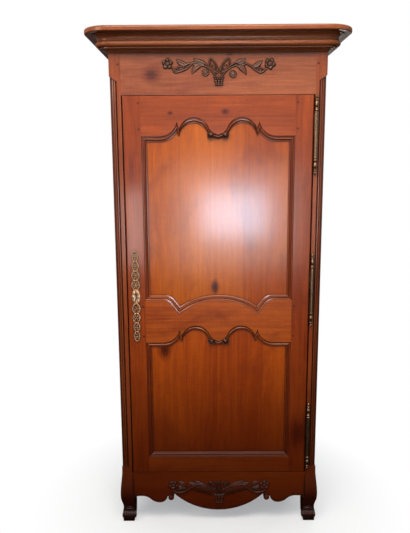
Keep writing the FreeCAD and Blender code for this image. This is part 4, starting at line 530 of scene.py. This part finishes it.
    def basket(self, centre, top, bottom, tall, height=5.0, rows=3):
        """A small woven basket: rolled rim, rows of bosses that narrow downwards, and a foot."""
        cx, cz = centre
        back = []
        for i in range(9):
            half = (top + (bottom - top) * i / 8) / 2
            rises = [ROOT if n in (0, 8) or i in (0, 8) else height * 0.35 for n in range(9)]
            row = [self.spot(cx + half * (n / 4 - 1), cz + tall * (0.5 - i / 8), rises[n]) for n in range(9)]
            back.append(row)
        sheet(self.bm, back)
        for i in range(rows):
            share = (i + 0.5) / rows
            width = top + (bottom - top) * share
            count = 4 if i == 0 else 3
            for n in range(count):
                boss = (cx + width * ((n + 0.5) / count - 0.5), cz + tall * (0.42 - 0.84 * share))
                self.bead(boss, width / count * 0.52, height * (1 - 0.08 * i))
        over, under = cz + tall / 2, cz - tall / 2
        rim = [(cx - top * 0.54, over + 1.5), (cx, over - 0.5), (cx + top * 0.54, over + 1.5)]
        self.stem(rim, 6.0, height * 1.1)
        foot = [(cx - bottom * 0.56, under), (cx, under + 1.2), (cx + bottom * 0.56, under)]
        self.stem(foot, 5.5, height)

    def piece(self, name, body, finish):
        """The finished object."""
        return mesh_piece(name, self.bm, body, finish)


def smooth(points, steps):
    """Points along a Catmull-Rom curve."""
    places = [Vector(p) for p in points]
    ends = [places[0] * 2 - places[1]] + places + [places[-1] * 2 - places[-2]]
    path = []
    for a, b, c, d in zip(ends, ends[1:], ends[2:], ends[3:]):
        for n in range(steps):
            t = n / steps
            path.append(0.5 * (2 * b + (c - a) * t + (2 * a - 5 * b + 4 * c - d) * t ** 2
                               + (3 * b - a - 3 * c + d) * t ** 3))
    return path + [places[-1]]


def frieze_carving():
    """A basket between two sprays of leaves, berries and end flowers."""
    art = Relief(FACE)
    art.flower((-193, 1926), 21.5, 5.5, 5, 0.3)
    art.flower((198, 1924), 22.5, 5.5, 5, 1.1)
    art.button((-48, 1893), 15)
    art.button((57, 1887), 15)
    art.stem([(-176, 1912), (-166, 1901), (-148, 1898), (-122, 1907), (-104, 1922), (-92, 1929)], 8, 4.2, 8)
    art.stem([(-128, 1921), (-112, 1926), (-94, 1929), (-72, 1931), (-50, 1925), (-32, 1911),
              (-18, 1896), (-8, 1880)], 8.5, 4.6, 6.5)
    art.stem([(-78, 1912), (-62, 1918), (-44, 1914), (-28, 1902), (-15, 1886)], 7, 3.8)
    art.leaf((-120, 1920), (-160, 1943), 25.6, 4.4, 4, 3)
    art.loop((-130, 1913), (-168, 1896), 21, 6.0, 4.0)
    art.leaf((-48, 1925), (-94, 1945), 28.2, 4.6, 5, 3)
    art.leaf((-76, 1924), (-101, 1929), 20.5, 4.0, 2, 2)
    art.leaf((-66, 1921), (-101, 1887), 25.6, 4.6, -6, 4)
    art.loop((-7, 1897), (-30, 1942), 26, 7.0, 4.4)
    art.loop((-5, 1891), (-7, 1917), 14, 5.0, 3.6)
    art.stem([(186, 1908), (174, 1897), (160, 1892), (140, 1905), (118, 1920), (98, 1928), (72, 1930),
              (52, 1921), (34, 1908), (22, 1892), (14, 1880)], 8.5, 4.6, 6.5)
    art.stem([(84, 1911), (68, 1917), (50, 1912), (32, 1899), (21, 1886)], 7, 3.8)
    art.leaf((134, 1914), (169, 1938), 23, 4.2, -4, 3)
    art.leaf((128, 1912), (158, 1918), 15.4, 3.6, -2, 2)
    art.loop((136, 1909), (176, 1897), 18, 5.5, 3.8)
    art.leaf((68, 1929), (106, 1944), 26.9, 4.6, -5, 3)
    art.leaf((84, 1926), (112, 1926), 19.2, 4.0, -2, 2)
    art.leaf((74, 1919), (109, 1883), 25.6, 4.6, 6, 4)
    art.loop((15, 1897), (42, 1943), 26, 7.0, 4.4)
    art.loop((12, 1891), (16, 1918), 14, 5.0, 3.6)
    art.basket((3, 1862), 38, 27, 29, 5.6)
    return art.piece("frieze_carving", "case", WOODS["carving"])


def apron_carving():
    """A taller basket between two sprays of feathery leaves, the same on both sides."""
    art = Relief(FACE)
    for side in (-1, 1):
        def at(x, z):
            return (side * x, z)
        art.flower(at(198, 174), 22.5, 5.4, 5, 0.3 * side)
        art.leaf(at(142, 164), at(175, 192), 25, 4.6, 3 * side, 3)
        art.leaf(at(148, 160), at(180, 171), 19, 4.0, -2 * side, 2)
        art.loop(at(140, 154), at(180, 146), 22, 6.4, 4.2)
        art.stem([at(208, 156), at(190, 142), at(164, 138), at(140, 148), at(116, 166), at(96, 177),
                  at(70, 176), at(44, 166), at(16, 146)], 9.5, 5.0, 7)
        art.leaf(at(54, 170), at(108, 196), 27, 5.2, -5 * side, 4)
        art.leaf(at(96, 178), at(134, 186), 18, 4.4, -3 * side, 3)
        for n in range(8):
            share = n / 7
            base = at(26 + 70 * share, 158 + 20 * share)
            tip = at(36 + 84 * share, 122 + 26 * share)
            art.leaf(base, tip, 18, 4.8, 4 * side, 2, 12)
        art.loop(at(14, 158), at(40, 188), 22, 6.0, 4.0)
        art.loop(at(8, 152), at(9, 182), 12, 4.6, 3.6)
        art.stem([at(6, 128), at(12, 142), at(22, 158)], 6, 3.6, 5)
    art.stem([(0, 128), (0.5, 150), (0, 182)], 8, 4.4, 6)
    art.button((0, 187), 8, 3.8)
    art.basket((1, 111), 44, 30, 38, 5.4, 4)
    return art.piece("apron_carving", "case", WOODS["apron_carving"])


# ---------------------------------------------------------------- scrolls

def tube(bm, path, radii, around=8):
    """A round tube through 3-D points, closed at both ends."""
    rings, normal = [], None
    for i, here in enumerate(path):
        before, after = path[max(i - 1, 0)], path[min(i + 1, len(path) - 1)]
        ahead = (after - before).normalized()
        if normal is None:
            normal = ahead.orthogonal().normalized()
        normal = (normal - ahead * normal.dot(ahead)).normalized()
        other = ahead.cross(normal)
        ring = []
        for n in range(around):
            turn = 2 * math.pi * n / around
            ring.append(here + (normal * math.cos(turn) + other * math.sin(turn)) * radii[i])
        rings.append(ring)
    sheet(bm, [[path[0]] * around] + rings + [[path[-1]] * around], closed=True)


def ball(bm, centre, radius):
    """A small round boss."""
    place = Matrix.Translation(centre)
    bmesh.ops.create_uvsphere(bm, u_segments=16, v_segments=10, radius=radius, matrix=place)


def mesh_piece(name, bm, body, finish):
    """The object that a mesh becomes, with its finish, smoothed, riding on a body."""
    bmesh.ops.recalc_face_normals(bm, faces=bm.faces)
    mesh = bpy.data.meshes.new(name)
    bm.to_mesh(mesh)
    bm.free()
    made = bpy.data.objects.new(name, mesh)
    bpy.context.scene.collection.objects.link(made)
    mesh.materials.append(finish)
    for face in mesh.polygons:
        face.use_smooth = True
    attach(made, body)
    return made


def scroll_disc(art, centre, radius, rise, way, start):
    """A carved scroll end: a round boss whose face winds in to an eye."""
    around, rings, turns = 56, 26, 1.6
    sunk, eye = -3.0, 0.3  # the rim's millimetres below the ground, and the eye's share of the radius
    rows = []
    for k in range(rings + 1):
        share = 1 - 0.92 * k / rings
        row = []
        for n in range(around):
            angle = 2 * math.pi * n / around
            if k == 0:
                tall = sunk
            else:
                turn = way * (angle - start) / (2 * math.pi)
                ridge = 0.5 + 0.5 * math.cos(2 * math.pi * (turns * share + turn))
                edge = min(1.0, (1 - share) / 0.08)
                tall = rise * (0.3 + 0.7 * ridge) * (0.45 + 0.55 * edge)
                if share < eye:
                    tall = rise * (0.75 + 0.45 * math.sqrt(max(0.0, 1 - (share / eye) ** 2)))
            row.append(art.spot(centre[0] + radius * share * math.cos(angle),
                                centre[1] + radius * share * math.sin(angle), tall))
        rows.append(row)
    rows.append([art.spot(centre[0], centre[1], rise * 1.2)] * around)
    sheet(art.bm, rows, closed=True)


def door_scrolls():
    """Scrolls on the volutes at the middle of two door rails, and the strand that links each pair."""
    for name, top in (("upper", 1656), ("lower", 820)):
        art = Relief(FACE + 7 * MM)
        for side in (-1, 1):
            scroll_disc(art, (side * 28.5, top + 5), 14.5, 8.4, -side, math.pi / 2)
        art.stem([(-17, top + 3), (-7, top - 0.5), (0, top - 1.5), (7, top - 0.5), (17, top + 3)], 8.5, 8.0)
        art.piece(f"door_{name}_scrolls", "door", WOODS["scroll"])


def apron_scrolls():
    """Scrolls on the ends of the apron's volutes."""
    art = Relief(FACE + 1 * MM)
    for side in (-1, 1):
        scroll_disc(art, (side * 208, 115), 12.3, 3.6, side, math.pi * 0.6)
    art.piece("apron_scrolls", "case", WOODS["scroll"])


def foot_scrolls():
    """The carving of the feet: reeds round the roll, bands over it, spirals at its sides, a lip below."""
    bm = bmesh.new()
    back, up, roll = FACE + 0.0133, 0.031, 0.019  # the axis of the roll and its radius
    for side in (-1, 1):
        # Seven reeds, 7.9 mm apart, thin at both ends, that draw together a little upwards.
        for reed in range(-3, 4):
            path, radii = [], []
            for step in range(17):
                share = step / 16
                turn = math.radians(-52 + 128 * share)
                x = side * (0.393 + (0.0079 - 0.0004 * share) * reed)
                path.append(Vector((x, back - roll * math.cos(turn), up + roll * math.sin(turn))))
                radii.append(0.0031 * math.sin(math.pi * (0.12 + 0.76 * share)))
            tube(bm, path, radii)
        # A thick and a thin band over the reeds, arched, with tapering ends.
        for rise, thick in ((0.0, 0.0026), (0.0085, 0.0015)):
            path = []
            for n in range(25):
                share = n / 12 - 1
                path.append(Vector((side * 0.3925 + 0.0245 * share, -0.1835 + 0.002 * share * share,
                                    0.0585 + rise - 0.0075 * share * share)))
            tube(bm, path, [thick * (1 - 0.45 * abs(n / 12 - 1)) for n in range(25)])
        # The lip of the pad that the roll stands on.
        lip = [Vector((side * x, -0.1862, 0.0135)) for x in (0.3735, 0.383, 0.393, 0.403, 0.4185)]
        tube(bm, lip, [0.0019] * len(lip))
        # A spiral round an eye on each side of the roll.
        for x in (0.4213, 0.3655):
            path = []
            for n in range(46):
                share = n / 45
                far, angle = 0.0155 * (1 - 0.75 * share), math.pi * (0.9 + 3.2 * share)
                path.append(Vector((side * x, back + far * math.cos(angle), up + far * math.sin(angle))))
            tube(bm, path, [0.0021 - 0.0008 * n / 45 for n in range(46)])
            ball(bm, Vector((side * x, back, up)), 0.0036)
    mesh_piece("foot_scrolls", bm, "case", WOODS["foot"])


# ---------------------------------------------------------------- brass plate round the keyhole

PLATE = 1.3 * MM  # how far the flat of the plate stands out
PLATE_ROOT = 0.2 * MM  # how far its edges go into the door


def plate_spot(x, out, z):
    """A place on the plate, from its middle line, the door's face and the keyhole."""
    return Vector((KEY_X + x, FACE - out, KEY_Z + z))


def cartouche(bm):
    """The domed oval round the keyhole, with a chased face and a scalloped edge."""
    around, rings = 64, 9
    hole_width, hole_height = 0.0036, 0.013
    rows = []
    for k in range(rings + 1):
        share = k / rings
        row = []
        for n in range(around):
            angle = 2 * math.pi * n / around
            scallop = 1 - 0.05 * (1 - abs(math.cos(4 * angle))) * share
            half_width = hole_width + (0.0188 * scallop - hole_width) * share
            half_height = hole_height + (0.033 * scallop - hole_height) * share
            dome = (0.0012 + 0.0005 * math.cos(8 * angle)) * math.sin(math.pi * share)
            out = PLATE + dome if k < rings else -PLATE_ROOT
            row.append(plate_spot(half_width * math.cos(angle), out, half_height * math.sin(angle)))
        rows.append(row)
    inward = [Vector((place.x, FACE + PLATE_ROOT, place.z)) for place in rows[0]]
    sheet(bm, [inward] + rows, closed=True)


def plate_links(bm, way):
    """Four links that taper away from the cartouche, up or down. Each has two bows, two curls and a fork."""
    level, tall, overlap = 0.029, 0.042, 0.003
    for n in range(4):
        half_width = 0.018 * (0.98 - 0.09 * n)
        middle = level + tall / 2
        for side in (-1, 1):
            bow, curl = [], []
            for i in range(33):
                share = i / 32
                angle = -math.pi / 2 + math.pi * share
                waist = 0.9 + 0.1 * math.cos(4 * math.pi * share)
                bulge = half_width * max(math.cos(angle), 0.0) ** 0.55 * waist
                bow.append(plate_spot(side * max(bulge - 0.0012, 0.0004), 0.0012,
                                      way * (middle + tall / 2 * math.sin(angle))))
            tube(bm, bow, [0.0019 + 0.0007 * math.sin(math.pi * i / 32) for i in range(33)], 7)
            for i in range(21):
                share = i / 20
                angle = math.pi * 0.5 + side * way * math.pi * 2.1 * share
                reach = half_width * 0.44 * (1 - 0.62 * share)
                curl.append(plate_spot(side * half_width * 0.46 + reach * math.cos(angle), 0.0014,
                                       way * (middle + tall * 0.1) + reach * math.sin(angle)))
            tube(bm, curl, [0.0017 - 0.0005 * i / 20 for i in range(21)], 6)
            fork = [plate_spot(side * (0.0012 + half_width * 0.1 * k), 0.0013,
                               way * (middle - tall * (0.12 + 0.06 * k))) for k in range(6)]
            tube(bm, fork, [0.0021 - 0.0002 * k for k in range(6)], 6)
        ball(bm, plate_spot(0, 0.001, way * middle), 0.0026)
        level += tall - overlap
    finial = [plate_spot(0, 0.0012, way * (level + 0.002 * k)) for k in range(5)]
    tube(bm, finial, [0.0028, 0.0034, 0.003, 0.002, 0.0008], 8)


def escutcheon():
    """A pierced and chased plate: a domed cartouche, and scrolled links that taper above and below it."""
    bm = bmesh.new()
    cartouche(bm)
    for way in (-1, 1):
        plate_links(bm, way)
    plate = mesh_piece("escutcheon_plate", bm, "door", METALS["brass"])
    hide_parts("escutcheon")


frieze_carving()
apron_carving()
door_scrolls()
apron_scrolls()
foot_scrolls()
escutcheon()


# ---------------------------------------------------------------- floor, light and camera

def stage():
    """A white floor that takes a soft shadow, in a white surround that lights from above."""
    # Pale matt paint: it shows the soft shadow under the cabinet, and fades to plain white all round.
    made, tree = new_material("Pale matt floor")
    matt = add(tree, "BsdfPrincipled", linear("#DCE2E8"), Roughness=0.85)
    far = add(tree, "VectorMath LENGTH", add(tree, "TexCoord", out="Object"))
    fade = add(tree, "ValToRGB", far, stops=[(0.3, 0.3), (0.85, 1.0)])
    faded = add(tree, "MixShader", fade, matt, add(tree, "Emission", (1, 1, 1, 1), 1.0))
    # Only the camera sees it pale, because its glare would hide the colour of the waxed wood.
    dim = add(tree, "BsdfDiffuse", linear("#20160E"))
    seen = add(tree, "MixShader", add(tree, "LightPath", out="Is Camera Ray"), dim, faded)
    below = add(tree, "NewGeometry", out="Backfacing")
    add(tree, "OutputMaterial", add(tree, "MixShader", below, seen, add(tree, "BsdfTransparent")))
    bpy.ops.mesh.primitive_plane_add(size=16, location=(0, 0, 0))
    floor = bpy.context.object
    floor.name = "floor"
    floor.data.materials.append(made)

    world = bpy.data.worlds.new("Soft white surround")
    bpy.context.scene.world = world
    world.use_nodes = True
    tree = world.node_tree
    tree.nodes.clear()
    ray = add(tree, "LightPath").node.outputs
    rise = add(tree, "SeparateXYZ", add(tree, "TexCoord", out="Generated"), out="Z")
    level = add(tree, "Math MULTIPLY_ADD", rise, 0.5, 0.5)
    glow = [(0.47, 0.0), (0.52, 0.15), (0.57, 0.75), (0.7, 1.0), (1.0, 0.6)]
    sky = add(tree, "ValToRGB", level, stops=glow)
    lit = add(tree, "Background", sky, 0.5)
    shown = add(tree, "Background", (1, 1, 1, 1), 1.0)
    # The camera and clear things see plain white, and reflections see it at half strength.
    reflected = add(tree, "Math MULTIPLY", ray["Is Glossy Ray"], 0.5)
    white = add(tree, "Math MAXIMUM", reflected, ray["Is Transmission Ray"])
    white = add(tree, "Math MAXIMUM", ray["Is Camera Ray"], white)
    add(tree, "OutputWorld", add(tree, "MixShader", white, lit, shown))


def lamp(name, place, aim, width, height, power, shade):
    """A rectangular lamp that looks at a point. Power in watts."""
    data = bpy.data.lights.new(name, "AREA")
    data.shape = "RECTANGLE"
    data.size, data.size_y = width, height
    data.energy = power
    data.color = linear(shade)[:3]
    made = bpy.data.objects.new(name, data)
    made.location = place
    made.rotation_euler = (Vector(aim) - Vector(place)).to_track_quat("-Z", "Y").to_euler()
    bpy.context.scene.collection.objects.link(made)


def lights():
    """A window with a warm halo in front, a glint on the left stile, and soft light from three sides."""
    lamp("window", (0.21, -3.2, 1.08), (0.1, 0, 1.1), 0.6, 0.42, 18.5, "#CFE4FF")
    lamp("window_glow", (0.2, -3.25, 1.03), (0.1, 0, 1.1), 1.15, 0.95, 15, "#FFEBD8")
    lamp("glint", (-0.53, -1.75, 1.12), (-0.3, 0, 1.3), 0.12, 0.5, 1.6, "#FFE9E4")
    lamp("left_window", (-2.4, -2.2, 2.7), (0, 0, 1.5), 1.4, 1.4, 45, "#FFF1E2")
    lamp("ceiling", (-0.08, -1.5, 3.2), (0, -0.1, 1.6), 1.6, 1.2, 72, "#FFF4E8")
    lamp("behind", (0.9, 3.0, 2.2), (0, 0, 1.0), 2.2, 2.2, 36, "#FFF6EC")


def camera():
    """Eye height 1.57 m, 2.3 m in front of the door, tilted 10 degrees down."""
    data = bpy.data.cameras.new("camera")
    data.sensor_fit = "AUTO"
    data.sensor_width = 36.0
    data.lens = 39.3
    tilt, yaw, roll = 0.1811, -0.0028, -0.006
    ahead = Vector((math.sin(yaw) * math.cos(tilt), math.cos(yaw) * math.cos(tilt), -math.sin(tilt)))
    level = Vector((math.cos(yaw), -math.sin(yaw), 0))
    upright = level.cross(ahead)
    right = level * math.cos(roll) + upright * math.sin(roll)
    up = upright * math.cos(roll) - level * math.sin(roll)
    made = bpy.data.objects.new("camera", data)
    made.matrix_world = Matrix((right, up, -ahead)).transposed().to_4x4()
    made.location = (-0.0478, FACE - 2.3192, 1.5651)
    bpy.context.scene.collection.objects.link(made)
    bpy.context.scene.camera = made


stage()
lights()
camera()
bpy.context.scene.view_settings.view_transform = "Standard"
